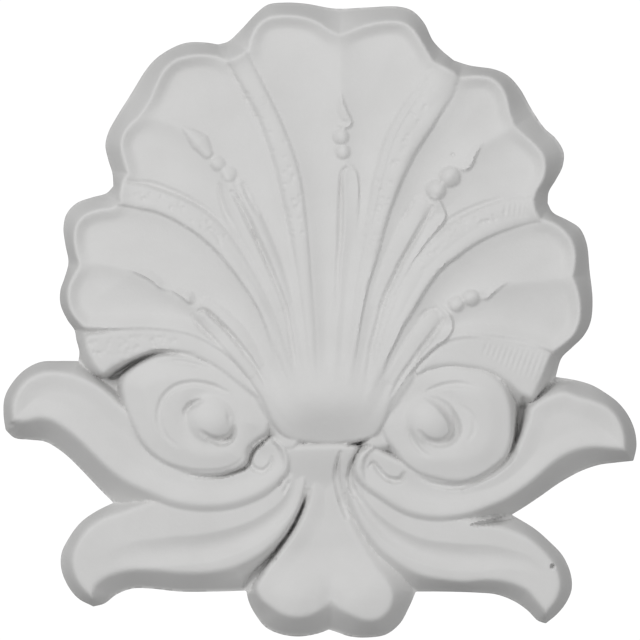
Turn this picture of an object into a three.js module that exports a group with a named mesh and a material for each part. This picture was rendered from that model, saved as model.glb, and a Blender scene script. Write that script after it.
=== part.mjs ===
// A cast shell onlay: a fan shell of five lobed panels over a pair of volutes, two pairs of
// leaves and a stem that ends in a double drop. One casting with a flat back.
// It stands upright with +Z up and its back on the plane y = 0, and its carved front faces -Y.
import * as THREE from 'three';

// Driving dimensions, in millimetres. Heights are measured forward from the back.
const WIDTH = 220; // across the tips of the upper leaves
const PLATE = 3.2; // the ground left in the pockets between the motifs
const LAND = 0.8; // the upright edge round the back, below the drafted walls
const RIM = 13.4; // the shell at its lobed rim
const HUB_RISE = 6.6; // the shell's swell towards the hub
const UMBO_RISE = 1.8; // the rounded boss at the hub
const UMBO_FALL = 7.4; // its fall towards the neck
const DISH = 1.6; // the hollow just inside the rim
const SCOOP = 2.1; // the deepest a half panel is scooped out
const RIB = 1.6; // the raised ribs between the panels
const BROAD_RIB = 2.1; // the one that overlaps its neighbour
const RIB_STEP = 1.9; // the step down beside them
const DART = 2; // the darts on the panels' centre lines
const GROOVE = 1.4; // the lines cut into the darts
const BAND_STEP = 0.7; // from the shell down to the crimped bands under it
const VOLUTE = 15.2; // the edge of the volutes
const VOLUTE_SWELL = 1.6;
const VOLUTE_LIFT = 1.6; // their rise towards the shell
const EYE = 2.4; // the bosses in the volutes
const EYE_RING = 0.9; // the hollow round them
const EYE_LINE = 2; // the lines cut beside them
const WEB_DROP = 0.9; // the slope between shell and volutes, below the shell's edge
const WEB_FALL = 3.4; // and its fall below the hub
const NECK = 15.2; // the top of the stem under the hub
const NECK_FALL = 5.6;
const UPPER_LEAF = 14;
const LOWER_LEAF = 11.6;
const LEAF_HOLLOW = 1.2;
const CHANNEL = 1.8; // the channel along the lower leaves
const CURL = 1.2; // the line round the small curls
const CURL_RIM = 2.4; // their raised outer edge
const STEM = 10.8;
const DROP_RISE = 2.4; // the swell of the stem into the drop
const LOBE = 1.4;
const BLEND = 0.3; // how far motifs melt together where they meet

// Points are picked by eye on a grid of 636 steps across the width, x to the right and y down,
// over the piece leaning by LEAN. ORIGIN is the grid point that the part's origin lies on.
const STEPS = 636;
const STEP = WIDTH / STEPS;
const LEAN = THREE.MathUtils.degToRad(1.8);
const ORIGIN = [330, 320];
const FINE = 5.9; // spacing of the mesh along outlines and carving, in steps
const COARSE = 12; // and in the plain areas between them
const CREASE = 4.2; // from a crown to the crease at the foot of its wall, where motifs meet
const CREASE_HEIGHT = 4; // how far below the surface a wall may run and still mark a crease, in mm
const HIDDEN = 0.4; // and a crown, in mm
const WALL = 16; // breadth of the walls round the outside
const GRID_END = 650;
const SLIMMEST = 0.12; // the least height of a front triangle, as a share of its longest side
const SWEEPS = 6;
const LEAST_GAIN = 0.001;

// Where the shell's forms swell, start and stop, in steps on the grid.
const SWELL_CENTRE = [328, 418];
const SWELL_REACH = 165;
const UMBO_CENTRE = [328, 412];
const UMBO_HALF = [52, 44];
const UMBO_FALLS = [385, 450];
const UMBO_FALL_HALF = 60;
const DISH_AT = 16;
const DISH_STARTS = [90, 160];
const CARVING_STARTS = [26, 80];
const SCOOP_STARTS = 14;
const SCOOP_SLOPE = 0.15; // depth of a narrow scoop as a share of its width
const RIB_SLOPE = 0.24; // height of a narrow rib as a share of its width
const RIB_FULLNESS = 0.4;
const RIB_FLANK = 3; // from a rib's edge to where it is nearly full
const RIDGE_ROUND = 6; // of the ridges between half panels
const STEP_ROUND = 1.1;
const SHOULDER = 1.4; // rounding of the crown edges
const GROUND_SLOPE = 0.45;
const WEB_FALLS = [400, 438];
const NECK_FALLS = [440, 498];
const VOLUTE_EDGE = 26;
const LIFT_CENTRE = [328, 400];
const LIFT_REACH = 105;
const LEAF_EDGE = 22;
const DROP_SWELLS = [545, 590];
const DROP_STARTS = [560, 600];
const lobes = [[298, 596], [364, 598]];
const LOBE_REACH = 20;
const NOTCH_AT = 331;
const NOTCH_HALF = 10;

// Outline of the back, clockwise, as arcs from notch to notch.
const shellOutline = [
  [[78, 361], [79, 352], [76, 340], [74, 330], [67, 320], [60, 304], [60, 290], [64, 278],
    [68, 262], [65, 245], [63, 228], [66, 214], [76, 203], [92, 197], [106, 193], [113, 186]],
  [[113, 186], [112, 173], [108, 160], [105, 145], [108, 132], [116, 117], [131, 93], [146, 69],
    [157, 57], [175, 46], [188, 42], [205, 42], [218, 44]],
  [[218, 44], [228, 41], [241, 29], [257, 12], [268, 4], [285, 2], [305, 3], [335, 8], [365, 7],
    [398, 6], [412, 10], [424, 22], [433, 40], [442, 50], [454, 60]],
  [[454, 60], [470, 65], [495, 69], [508, 75], [520, 88], [532, 109], [545, 128], [556, 138],
    [564, 152], [563, 166], [556, 180], [549, 192], [548, 203]],
  [[548, 203], [553, 212], [568, 220], [580, 228], [587, 243], [590, 270], [593, 300], [591, 322],
    [584, 336], [572, 348], [562, 358], [556, 377]],
];
const upperRightOutline = [
  [[556, 377], [575, 380], [592, 385], [606, 393], [619, 403], [629, 416], [635, 430], [637, 446],
    [634, 461]],
  [[634, 461], [615, 463], [600, 465], [582, 471], [560, 483], [540, 497], [525, 507], [512, 515]],
];
const lowerRightOutline = [
  [[512, 515], [535, 529], [550, 542], [563, 556], [571, 574], [572, 590], [566, 604], [557, 615],
    [546, 624]],
  [[546, 624], [538, 621], [528, 611], [515, 602], [497, 595], [475, 593], [440, 592], [416, 592]],
];
const dropOutline = [
  [[416, 592], [409, 608], [400, 624], [386, 635], [368, 638], [350, 637], [338, 633], [329, 630]],
  [[329, 630], [318, 634], [300, 637], [282, 635], [266, 628], [256, 616], [249, 603], [246, 591]],
];
const lowerLeftOutline = [
  [[246, 591], [215, 592], [180, 592], [150, 589], [132, 589], [116, 595], [104, 604], [93, 607]],
  [[93, 607], [78, 599], [68, 587], [61, 570], [61, 554], [68, 539], [80, 523], [95, 512],
    [113, 503]],
];
const upperLeftOutline = [
  [[113, 503], [98, 488], [80, 469], [63, 453], [45, 442], [30, 440], [14, 438], [5, 430]],
  [[5, 430], [3, 415], [4, 398], [11, 384], [24, 370], [40, 362], [58, 361], [78, 361]],
];

// Where the walls of each motif would reach the back under its neighbours.
const shellUnder = [
  [[556, 377], [535, 395], [500, 400], [460, 395], [425, 410], [398, 430], [378, 441], [362, 445],
    [330, 445], [290, 444], [268, 438], [246, 415], [215, 395], [180, 385], [140, 380], [104, 372],
    [78, 361]],
];
const upperLeftUnder = [
  [[78, 361], [100, 378], [125, 395], [160, 420], [230, 430], [275, 428], [297, 440], [303, 462]],
  [[303, 462], [302, 490], [282, 520], [245, 538], [205, 543], [168, 536], [138, 519], [113, 503]],
];
const upperRightUnder = [
  [[512, 515], [492, 520], [472, 532], [445, 543], [412, 540], [382, 526], [356, 506], [342, 486],
    [339, 462], [350, 444], [372, 436]],
  [[372, 436], [420, 460], [500, 450], [514, 440], [520, 424], [523, 408], [531, 397], [556, 377]],
];
const lowerLeftUnder = [
  [[113, 503], [160, 490], [230, 480], [280, 450], [292, 430], [325, 436], [322, 462], [312, 488],
    [301, 515], [288, 538], [272, 558], [258, 575], [246, 591]],
];
const lowerRightUnder = [
  [[416, 592], [402, 588], [380, 576], [358, 556], [342, 530], [332, 500], [328, 470], [336, 440],
    [372, 435], [430, 480], [480, 505], [512, 515]],
];
const stemUnder = [
  [[246, 591], [254, 577], [268, 558], [284, 537], [297, 514], [300, 493], [290, 470], [285, 446],
    [300, 430], [345, 430], [372, 444], [362, 468], [362, 490], [372, 512], [388, 532], [404, 548],
    [412, 562], [416, 592]],
];

// Crowns: the edge where a motif's top turns over into its wall.
const shellCrown = [
  [[86, 329], [78, 322], [71, 312], [68, 300], [68, 288], [73, 276], [79, 265], [76, 254],
    [74, 240], [76, 226], [84, 216], [98, 210], [112, 208], [121, 203]],
  [[121, 203], [120, 192], [123, 180], [128, 174]],
  [[128, 174], [124, 160], [121, 146], [124, 133], [131, 124], [138, 118]],
  [[138, 118], [146, 107], [151, 98], [156, 86], [163, 72], [174, 61], [190, 56], [205, 55],
    [218, 57], [228, 62]],
  [[228, 62], [236, 58], [248, 52]],
  [[248, 52], [251, 38], [257, 26], [266, 19], [280, 16], [300, 17], [316, 22], [330, 31],
    [340, 36]],
  [[340, 36], [350, 32], [365, 26], [385, 22], [402, 23], [412, 29], [421, 41], [430, 57],
    [433, 62]],
  [[433, 62], [444, 67], [454, 73], [458, 78]],
  [[458, 78], [475, 76], [490, 78], [500, 86], [506, 98], [509, 112], [514, 127]],
  [[514, 127], [524, 136], [534, 145], [542, 155], [545, 167], [543, 180], [537, 190], [533, 199]],
  [[533, 199], [535, 210], [540, 220]],
  [[540, 220], [552, 222], [564, 231], [572, 243], [575, 256], [574, 268], [572, 277]],
  [[572, 277], [577, 290], [580, 306], [579, 322], [573, 336], [562, 346], [553, 352]],
  [[553, 352], [525, 344], [495, 337], [462, 336], [436, 344], [412, 368], [392, 400], [383, 424],
    [374, 438], [345, 445], [310, 445], [286, 439], [273, 422], [262, 398], [240, 366], [215, 345],
    [190, 333], [150, 327], [110, 328], [86, 329]],
];
const upperLeftCrown = [
  [[13, 421], [25, 421], [40, 418], [52, 420], [64, 427], [80, 440], [95, 455], [110, 469],
    [127, 481], [148, 491], [170, 500], [190, 504], [210, 505], [230, 503], [250, 497], [265, 490],
    [278, 480], [286, 470], [288, 458], [283, 445], [272, 438]],
  [[272, 438], [250, 436], [200, 440], [150, 425], [120, 404]],
  [[120, 404], [106, 390], [90, 380], [74, 374], [58, 371], [42, 372], [27, 379], [16, 393],
    [12, 407], [13, 421]],
];
const upperRightCrown = [
  [[372, 446], [360, 455], [356, 470], [364, 484], [380, 495], [395, 505], [410, 512], [430, 516],
    [450, 516], [470, 513], [490, 506], [507, 498], [522, 488], [536, 477], [548, 466], [560, 457],
    [575, 450], [592, 447], [608, 448], [625, 450]],
  [[625, 450], [624, 434], [618, 418], [608, 407], [595, 401], [580, 397], [565, 392], [552, 394],
    [540, 400], [530, 408], [526, 421], [520, 437], [513, 452], [490, 470], [430, 470], [390, 455],
    [372, 446]],
];
const lowerLeftCrown = [
  [[92, 597], [95, 586], [104, 578], [116, 573], [132, 570], [155, 570], [180, 572], [205, 572],
    [232, 567], [254, 558], [272, 546], [287, 529], [298, 511], [305, 490], [307, 468], [304, 448]],
  [[304, 448], [295, 446], [288, 452], [262, 475], [220, 488], [160, 498], [120, 512], [100, 519],
    [86, 530], [76, 545], [72, 560], [76, 578], [84, 590], [92, 597]],
];
const lowerRightCrown = [
  [[350, 450], [347, 468], [348, 490], [355, 510], [366, 530], [380, 548], [396, 561], [412, 571],
    [428, 577], [445, 580], [465, 582], [485, 580], [502, 581], [517, 585], [528, 591], [537, 602],
    [546, 613]],
  [[546, 613], [555, 602], [560, 588], [558, 572], [550, 558], [538, 545], [524, 535], [508, 529],
    [480, 522], [430, 512], [390, 500], [365, 480], [356, 462], [350, 450]],
];
const stemCrown = [
  [[331, 602], [322, 609], [310, 615], [296, 617], [283, 614], [271, 607], [261, 599], [256, 588],
    [260, 577], [268, 565], [278, 553], [289, 539], [300, 520], [309, 498], [313, 476], [312, 455],
    [316, 442]],
  [[316, 442], [338, 442], [339, 458], [338, 478], [341, 497], [348, 517], [358, 538], [369, 556],
    [380, 572], [389, 584], [393, 597], [389, 610], [378, 619], [365, 620], [352, 615], [340, 609],
    [331, 602]],
];

// Rounded motifs: closed crown and foot loops.
const bandLeft = {
  crown: [
    [86, 336], [110, 330], [150, 327], [185, 330], [215, 345], [245, 372], [262, 400], [240, 385],
    [215, 366], [195, 356], [175, 352], [158, 351], [144, 355], [128, 361], [113, 368], [104, 375],
    [97, 370], [91, 360], [86, 348],
  ],
  foot: [
    [78, 332], [110, 326], [150, 322], [190, 326], [220, 340], [250, 365], [272, 405], [262, 410],
    [235, 398], [212, 384], [192, 375], [174, 369], [160, 365], [148, 362], [134, 366], [120, 373],
    [108, 380], [95, 378], [80, 362], [76, 348],
  ],
};
const bandRight = {
  crown: [
    [430, 352], [455, 338], [480, 335], [510, 340], [535, 346], [551, 353], [546, 366], [540, 382],
    [532, 398], [521, 393], [509, 382], [492, 371], [471, 366], [448, 364], [430, 368], [412, 378],
  ],
  foot: [
    [425, 345], [452, 332], [480, 329], [512, 334], [540, 340], [558, 350], [558, 366], [550, 384],
    [536, 405], [520, 412], [502, 405], [486, 398], [468, 392], [446, 390], [426, 392], [403, 398],
  ],
};
const webLeft = {
  crown: [
    [240, 364], [252, 380], [262, 402], [269, 420], [274, 434], [279, 444], [286, 450], [294, 450],
    [299, 442], [291, 428], [281, 414], [270, 394], [254, 370], [245, 362],
  ],
  foot: [
    [214, 352], [170, 362], [130, 385], [124, 410], [138, 444], [162, 468], [200, 480], [240, 474],
    [255, 456], [268, 452], [284, 458], [302, 452], [330, 440], [325, 400], [290, 350], [240, 335],
  ],
};
const webRight = {
  crown: [
    [366, 445], [372, 448], [382, 448], [389, 444], [387, 428], [390, 412], [398, 396], [412, 374],
    [407, 368], [396, 380], [384, 400], [374, 420], [365, 432], [362, 441],
  ],
  foot: [
    [352, 446], [366, 454], [384, 460], [402, 474], [440, 488], [480, 482], [510, 460], [517, 430],
    [515, 395], [490, 372], [450, 350], [415, 335], [380, 350], [345, 400],
  ],
};
const neck = {
  crown: [
    [286, 449], [296, 446], [330, 445], [350, 445], [356, 448], [352, 460], [349, 478], [345, 494],
    [336, 505], [318, 506], [306, 497], [297, 491], [291, 480], [288, 465],
  ],
  foot: [
    [268, 442], [284, 434], [330, 432], [360, 434], [367, 442], [361, 462], [359, 484], [355, 506],
    [344, 526], [312, 526], [294, 512], [278, 498], [272, 480], [271, 460],
  ],
};
const voluteLeft = {
  crown: [
    [122, 383], [124, 402], [131, 422], [141, 442], [153, 455], [168, 465], [185, 471], [203, 474],
    [222, 473], [240, 467], [247, 460], [248, 450], [256, 441], [266, 434], [269, 424], [262, 405],
    [250, 388], [232, 374], [210, 364], [185, 357], [160, 356], [142, 362], [128, 372],
  ],
  foot: [
    [116, 379], [118, 402], [125, 424], [136, 446], [149, 461], [166, 471], [185, 477], [203, 480],
    [222, 479], [243, 473], [253, 466], [254, 454], [261, 446], [273, 438], [288, 425], [278, 390],
    [260, 365], [238, 346], [208, 338], [180, 339], [154, 349], [133, 362],
  ],
};
const voluteRight = {
  crown: [
    [384, 436], [380, 420], [386, 402], [400, 385], [420, 373], [445, 368], [470, 369], [490, 374],
    [503, 387], [510, 405], [512, 425], [511, 443], [505, 457], [494, 469], [478, 478], [460, 482],
    [440, 480], [420, 474], [405, 464], [394, 450],
  ],
  foot: [
    [374, 440], [364, 420], [372, 392], [390, 368], [414, 352], [445, 348], [474, 352], [500, 363],
    [516, 381], [520, 403], [518, 425], [515, 447], [511, 463], [498, 475], [482, 484], [462, 489],
    [438, 487], [416, 480], [400, 470], [387, 456],
  ],
};

// Lines of the fan from beyond the rim to the hub, anticlockwise from the left band. They bound
// ribs and half panels in turn, and a panel's own centre line parts its two scooped halves.
const HUB = [330, 452];
const spokes = [
  [[40, 345], [75, 331], [100, 330], [125, 328], [160, 326], [190, 332], [215, 348], [240, 374],
    [262, 402], [290, 432]],
  [[40, 262], [80, 265], [100, 264], [138, 274], [165, 290], [193, 306], [219, 324], [243, 350],
    [262, 382], [285, 415]],
  [[70, 200], [125, 207], [158, 213], [186, 227], [213, 248], [241, 282], [265, 325], [283, 370],
    [300, 410]],
  [[70, 180], [130, 181], [160, 188], [190, 200], [215, 217], [236, 243], [258, 280], [275, 315],
    [290, 360], [306, 405]],
  [[95, 118], [140, 118], [160, 120], [183, 130], [207, 155], [228, 178], [245, 205], [264, 240],
    [280, 280], [293, 330], [303, 375]],
  [[205, 20], [228, 64], [243, 92], [259, 122], [272, 160], [281, 195], [290, 235], [298, 280],
    [304, 325], [310, 375]],
  [[235, 15], [249, 55], [264, 85], [284, 127], [299, 172], [306, 218], [311, 270], [315, 320],
    [318, 375]],
  [[340, -20], [340, 36], [341, 95], [344, 150], [343, 200], [340, 260], [337, 320], [334, 380]],
  [[470, 30], [433, 70], [410, 103], [392, 135], [381, 170], [370, 215], [360, 260], [352, 310],
    [347, 360], [342, 400]],
  [[480, 40], [459, 80], [453, 97], [432, 128], [411, 158], [397, 190], [384, 225], [374, 265],
    [364, 305], [357, 350], [350, 395]],
  [[560, 100], [513, 127], [482, 146], [449, 176], [433, 205], [415, 240], [395, 282], [378, 325],
    [366, 368], [355, 405]],
  [[590, 185], [535, 195], [505, 199], [470, 212], [438, 235], [413, 262], [396, 295], [382, 335],
    [370, 375], [358, 410]],
  [[600, 215], [540, 222], [510, 229], [483, 240], [458, 256], [433, 281], [412, 312], [395, 346],
    [380, 380], [362, 415]],
  [[640, 275], [573, 278], [540, 281], [508, 284], [472, 297], [448, 316], [430, 342], [410, 370],
    [390, 400], [368, 428]],
  [[640, 385], [575, 355], [540, 348], [510, 339], [480, 334], [455, 340], [432, 362], [410, 390],
    [390, 415], [370, 432]],
];
const ribAfterSpoke = { 2: RIB, 5: RIB, 8: BROAD_RIB, 11: RIB };

// Ridges and grooves: a path, half widths in steps and shares of the named height along it,
// and how full the section is (under 1 fuller, over 1 sharper).
const dartRidges = [
  [[[182, 127], [191, 134], [202, 145], [207, 153]], [1, 6, 9.5, 6], [0.15, 0.6, 0.8, 0.65], 0.5],
  [[[228, 184], [232, 200], [243, 222], [257, 250], [268, 275], [280, 305]], [8, 9, 9, 8, 7, 6],
    [0.5, 0.7, 0.65, 0.55, 0.4, 0.15], 0.7],
  [[[240, 184], [246, 196], [254, 214], [266, 243], [277, 270], [287, 300]], [5, 6, 7, 7, 6, 5],
    [0.4, 0.6, 0.6, 0.5, 0.4, 0.15], 0.7],
  [[[420, 204], [414, 216], [405, 234], [394, 256], [384, 280], [376, 303]], [8, 9, 9, 8, 7, 6],
    [0.4, 0.65, 0.6, 0.5, 0.35, 0.15], 0.7],
  [[[203, 317], [212, 326], [224, 338], [238, 356], [250, 374]], [6, 7, 7, 6, 5],
    [0.55, 0.7, 0.6, 0.45, 0.2], 0.7],
  [[[205, 303], [218, 311], [232, 325], [246, 343], [258, 363]], [6, 7, 8, 8, 6],
    [0.4, 0.6, 0.6, 0.5, 0.2], 0.8],
  [[[432, 316], [424, 328], [413, 343], [402, 360], [391, 378]], [7, 8, 8, 7, 6],
    [0.45, 0.7, 0.65, 0.5, 0.25], 0.7],
];
const dartGrooves = [
  [[[347, 167], [342, 173], [341, 200], [340, 240], [338, 265], [337, 300], [336, 325]],
    [2, 3, 3.5, 3.5, 3, 3, 2], [0.43, 0.93, 0.86, 0.71, 0.57, 0.36, 0], 1.5],
  [[[232, 192], [240, 205], [250, 225], [262, 250], [275, 280], [283, 300], [288, 318], [292, 345],
    [295, 368]], [2.5, 3.5, 3.5, 3.5, 3.5, 3.5, 3.5, 3, 2],
    [0.57, 1, 1.07, 1.07, 1, 0.93, 0.79, 0.57, 0], 1.5],
  [[[243, 185], [248, 196], [254, 207], [259, 216]], [2, 3, 3, 2], [0.43, 0.86, 0.79, 0], 1.5],
  [[[432, 207], [427, 217], [419, 231], [410, 247], [400, 265], [394, 278], [388, 290], [383, 303],
    [380, 315], [376, 330], [372, 345], [369, 362], [366, 380]], [2.5, 4, 4, 4, 4, 4, 3.5],
    [0.57, 1.21, 1.29, 1.29, 1.21, 1.21, 1.14, 1.07, 1, 0.86, 0.71, 0.43, 0], 1.5],
  [[[199, 311], [206, 311], [215, 319], [227, 330], [240, 345], [252, 361], [262, 378], [268, 392]],
    [2.5, 3.5, 3.5, 3.5, 3.5, 3, 3, 2], [0.57, 1.07, 1.14, 1.07, 1, 0.86, 0.57, 0], 1.5],
  [[[443, 319], [437, 329], [429, 340], [421, 350], [413, 362], [404, 374], [396, 386], [390, 397]],
    [2.5, 4, 4, 4, 4, 4, 3, 2], [0.64, 1.29, 1.29, 1.21, 1.14, 0.93, 0.64, 0.14], 1.5],
];
// Beads on the darts: place, radius in steps, share of the dart's height.
const dartBeads = [
  [[341, 137], 8, 0.85],
  [[343, 152], 7.5, 0.8],
  [[218, 164], 7.5, 0.6],
  [[229, 174], 8, 0.6],
  [[450, 177], 10.5, 1.25],
  [[436, 190], 10, 1.15],
  [[189, 297], 6, 0.5],
  [[471, 298], 8.5, 1.05],
  [[456, 304], 8, 0.95],
];
// Steps: a path, the widths over which the raised side fades, shares of the named height along it,
// and the raised side (1 right of a path that runs down the grid, -1 left of it).
const dartSteps = [
  [[[341, 92], [344, 103], [349, 115], [352, 122], [350, 127], [343, 129], [337, 125]],
    [2, 6, 10, 10, 8, 8, 4], [0.1, 0.6, 0.8, 0.85, 0.8, 0.65, 0.1], 1],
  [[[347, 163], [354, 168], [358, 178], [359, 196], [358, 216], [356, 240]], [6, 9, 12, 13, 12, 10],
    [0.25, 0.65, 0.7, 0.5, 0.2, 0], 1],
  [[[483, 143], [478, 151], [474, 160], [470, 168], [463, 171], [457, 168]], [2, 6, 9, 10, 8, 4],
    [0.1, 0.65, 0.9, 1, 0.8, 0.1], 1],
  [[[430, 196], [438, 199], [443, 207], [446, 216], [441, 226], [433, 235], [424, 246], [413, 262],
    [402, 282], [392, 303]], [4, 8, 10, 12, 12, 12, 11, 10, 9, 8],
    [0.2, 0.75, 0.95, 1, 0.9, 0.7, 0.55, 0.4, 0.25, 0], 1],
  [[[126, 269], [138, 274], [150, 280], [160, 288], [167, 291]], [2, 6, 9, 9, 6],
    [0.05, 0.5, 0.7, 0.7, 0.15], -1],
  [[[168, 289], [176, 294], [184, 299], [191, 304], [196, 301]], [5, 8, 8, 7, 3],
    [0.15, 0.6, 0.65, 0.7, 0.1], -1],
  [[[511, 281], [505, 284], [496, 291], [487, 299], [480, 300]], [2, 4, 7, 8, 4],
    [0.05, 0.4, 0.7, 0.75, 0.15], 1],
  [[[438, 303], [446, 310], [452, 319], [453, 328], [449, 336], [441, 343], [431, 351], [420, 362],
    [408, 376], [398, 390]], [4, 7, 9, 10, 10, 10, 9, 8, 7, 6],
    [0.15, 0.65, 0.9, 0.95, 0.85, 0.75, 0.6, 0.45, 0.25, 0], 1],
];
const ribSteps = [
  [[[447, 102], [432, 128], [416, 152], [402, 180], [392, 205], [384, 230], [379, 250], [373, 270],
    [368, 285], [365, 300], [361, 320], [358, 340], [355, 362]],
    [8, 14, 15, 14, 13, 11, 10, 9, 8, 8, 7, 6, 5],
    [0.11, 0.58, 0.89, 1, 1, 0.95, 0.89, 0.84, 0.79, 0.74, 0.63, 0.47, 0], 1],
  [[[530, 223], [510, 229], [483, 240], [458, 256], [440, 270], [430, 283], [420, 298], [412, 312],
    [403, 326], [395, 343], [388, 357], [381, 378]], [8, 12, 13, 13, 12, 11, 10, 9, 8, 7, 6, 5],
    [0.11, 0.42, 0.58, 0.74, 0.89, 0.95, 0.95, 0.95, 0.84, 0.74, 0.53, 0], 1],
  [[[122, 205], [140, 209], [158, 213], [186, 227], [213, 248], [241, 282], [253, 300], [262, 317],
    [270, 340], [276, 360]], [8, 12, 12, 12, 12, 11, 10, 9, 8, 6],
    [0.32, 0.68, 0.74, 0.74, 0.79, 0.84, 0.79, 0.68, 0.47, 0], -1],
  [[[251, 62], [264, 87], [284, 129], [299, 172], [306, 218], [309, 250], [311, 285], [312, 305]],
    [6, 10, 11, 11, 10, 9, 8, 6], [0.05, 0.37, 0.42, 0.42, 0.42, 0.32, 0.21, 0], 1],
];
const eyeLeft = {
  at: [211, 419], radius: 24, ring: 26, ringWidth: 8,
  grooves: [
    [[[228, 392], [212, 386], [195, 383], [178, 386], [166, 395], [160, 408], [160, 424], [168, 438],
      [182, 448]], [2, 4, 4, 4, 4, 4, 4, 3, 3], [0.15, 0.65, 0.65, 0.6, 0.55, 0.4, 0.3, 0.2, 0], 1.2],
    [[[186, 418], [186, 411], [190, 406], [198, 402], [205, 399]], [2, 4, 4.5, 4, 2],
      [0.15, 0.9, 1.3, 1, 0], 1.2],
    [[[199, 429], [205, 434], [213, 439], [223, 441], [230, 438], [234, 430], [235, 424]],
      [2, 3.5, 4.5, 5.5, 5.5, 4, 2], [0, 0.65, 1.05, 1.8, 2.15, 1.1, 0], 1.1],
  ],
};
const eyeRight = {
  at: [430, 420], radius: 25, ring: 28, ringWidth: 9,
  grooves: [
    [[[427, 391], [441, 386], [458, 384], [478, 387]], [2, 4, 4, 2], [0.25, 0.55, 0.5, 0], 1.2],
    [[[423, 397], [437, 402], [447, 411], [453, 421], [455, 431], [450, 439], [440, 443], [428, 440],
      [419, 431]], [2, 5, 7, 7, 6.5, 6, 5, 4, 2.5], [0, 0.7, 1.2, 1.65, 2, 1.7, 1.2, 0.75, 0.2], 1.1],
  ],
};
const curlLeft = {
  rim: [
    [[[276, 438], [286, 448], [290, 462], [288, 475], [280, 487]], [5, 7, 7, 6, 4],
      [1.08, 0.92, 0.62, 0.38, 0], 0.8],
  ],
  line: [
    [[[272, 457], [270, 465], [263, 471], [255, 469], [251, 462], [253, 454], [261, 449]],
      [2, 3, 3.5, 3.5, 3, 2, 2], [0.33, 1.08, 1.25, 1.08, 0.75, 0.42, 0], 1.2],
  ],
};
const curlRight = {
  rim: [
    [[[374, 443], [364, 450], [359, 461], [359, 475], [365, 488]], [5, 6, 6, 6, 4],
      [1, 0.83, 0.62, 0.38, 0], 0.8],
  ],
  line: [
    [[[369, 467], [373, 463], [378, 469], [384, 476], [392, 480], [400, 480], [404, 473]],
      [2, 3, 3.5, 3.5, 4, 4, 2.5], [0.5, 1.17, 1.17, 1.17, 2, 2, 0.67], 1.2],
  ],
};
const channelLeft = [[[300, 450], [298, 475], [285, 502], [255, 524], [215, 537], [170, 541],
  [130, 545], [105, 552]], [3, 6, 10, 13, 15, 15, 14, 8], [0, 0.45, 0.8, 1, 1, 0.9, 0.45, 0], 1.4];
const channelRight = [[[355, 470], [362, 500], [385, 525], [420, 543], [460, 549], [500, 550],
  [530, 556], [548, 568]], [2, 5, 9, 12, 14, 14, 10, 6], [0, 0.5, 0.8, 1, 1, 0.85, 0.4, 0], 1.4];

// A smooth line through points, as grid points about `spacing` apart.
function smoothLine(points, spacing = 6, closed = false) {
  const curve = new THREE.CatmullRomCurve3(points.map(([x, y]) => new THREE.Vector3(x, y, 0)), closed);
  const spans = closed ? points.length : points.length - 1;
  const line = [];
  for (let i = 0; i < spans; i++) {
    const next = points[(i + 1) % points.length];
    const cuts = Math.max(1, Math.ceil(Math.hypot(next[0] - points[i][0], next[1] - points[i][1]) / spacing));
    for (let j = 0; j < cuts; j++) {
      const p = curve.getPoint((i + j / cuts) / spans);
      line.push([p.x, p.y]);
    }
  }
  if (!closed) line.push(points[points.length - 1]);
  return line;
}

// Arcs that follow one another, joined to one closed loop.
function loopOf(arcs, spacing = 6) {
  return arcs.flatMap((arc) => smoothLine(arc, spacing).slice(0, -1));
}

// Nearest point of a line: distance, side (+1 on its right as seen) and share of its length.
function nearest(p, line, closed = false) {
  let best = Infinity;
  let side = 1;
  let along = 0;
  let walked = 0;
  const count = closed ? line.length : line.length - 1;
  for (let i = 0; i < count; i++) {
    const a = line[i];
    const b = line[(i + 1) % line.length];
    const dx = b[0] - a[0];
    const dy = b[1] - a[1];
    const length = Math.hypot(dx, dy);
    const px = p[0] - a[0];
    const py = p[1] - a[1];
    const u = THREE.MathUtils.clamp((px * dx + py * dy) / (length * length), 0, 1);
    const distance = Math.hypot(px - u * dx, py - u * dy);
    if (distance < best) {
      best = distance;
      side = dx * py - dy * px >= 0 ? 1 : -1;
      along = walked + u * length;
    }
    walked += length;
  }
  return { distance: best, side, share: along / walked };
}

function isInside(p, loop) {
  let odd = false;
  for (let i = 0, j = loop.length - 1; i < loop.length; j = i++) {
    const [ax, ay] = loop[i];
    const [bx, by] = loop[j];
    if (ay > p[1] !== by > p[1] && p[0] < ((bx - ax) * (p[1] - ay)) / (by - ay) + ax) odd = !odd;
  }
  return odd;
}

// Distance in from a closed loop, negative outside it.
function depthIn(p, loop) {
  return nearest(p, loop, true).distance * (isInside(p, loop) ? 1 : -1);
}

// A value read off an evenly spaced list at a share from 0 to 1.
function listAt(list, share) {
  const place = share * (list.length - 1);
  const i = Math.min(Math.floor(place), list.length - 2);
  return THREE.MathUtils.lerp(list[i], list[i + 1], place - i);
}

function bump(q, fullness) {
  return q < 1 ? (1 - q * q) ** fullness : 0;
}

const smooth = (from, to, value) => THREE.MathUtils.smoothstep(value, from, to);
const gauss = (value, width) => Math.exp(-((value / width) ** 2));
const distanceTo = (p, at) => Math.hypot(p[0] - at[0], p[1] - at[1]);

// Height of a set of ridges (or depth of grooves) at a point.
function strokes(p, list) {
  let sum = 0;
  for (const { line, half, shares, fullness } of list) {
    const { distance, share } = nearest(p, line);
    sum += listAt(shares, share) * bump(distance / listAt(half, share), fullness);
  }
  return sum;
}

// Height of a set of steps, each raised on one side of its line and fading from there.
function steps(p, list) {
  let sum = 0;
  for (const { line, widths, shares, raised } of list) {
    const { distance, side, share } = nearest(p, line);
    const off = distance * side * raised;
    if (off < -STEP_ROUND) continue;
    const fade = Math.max(1 - Math.max(off, 0) / listAt(widths, share), 0);
    sum += listAt(shares, share) * fade * smooth(-STEP_ROUND, STEP_ROUND, off);
  }
  return sum;
}

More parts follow.
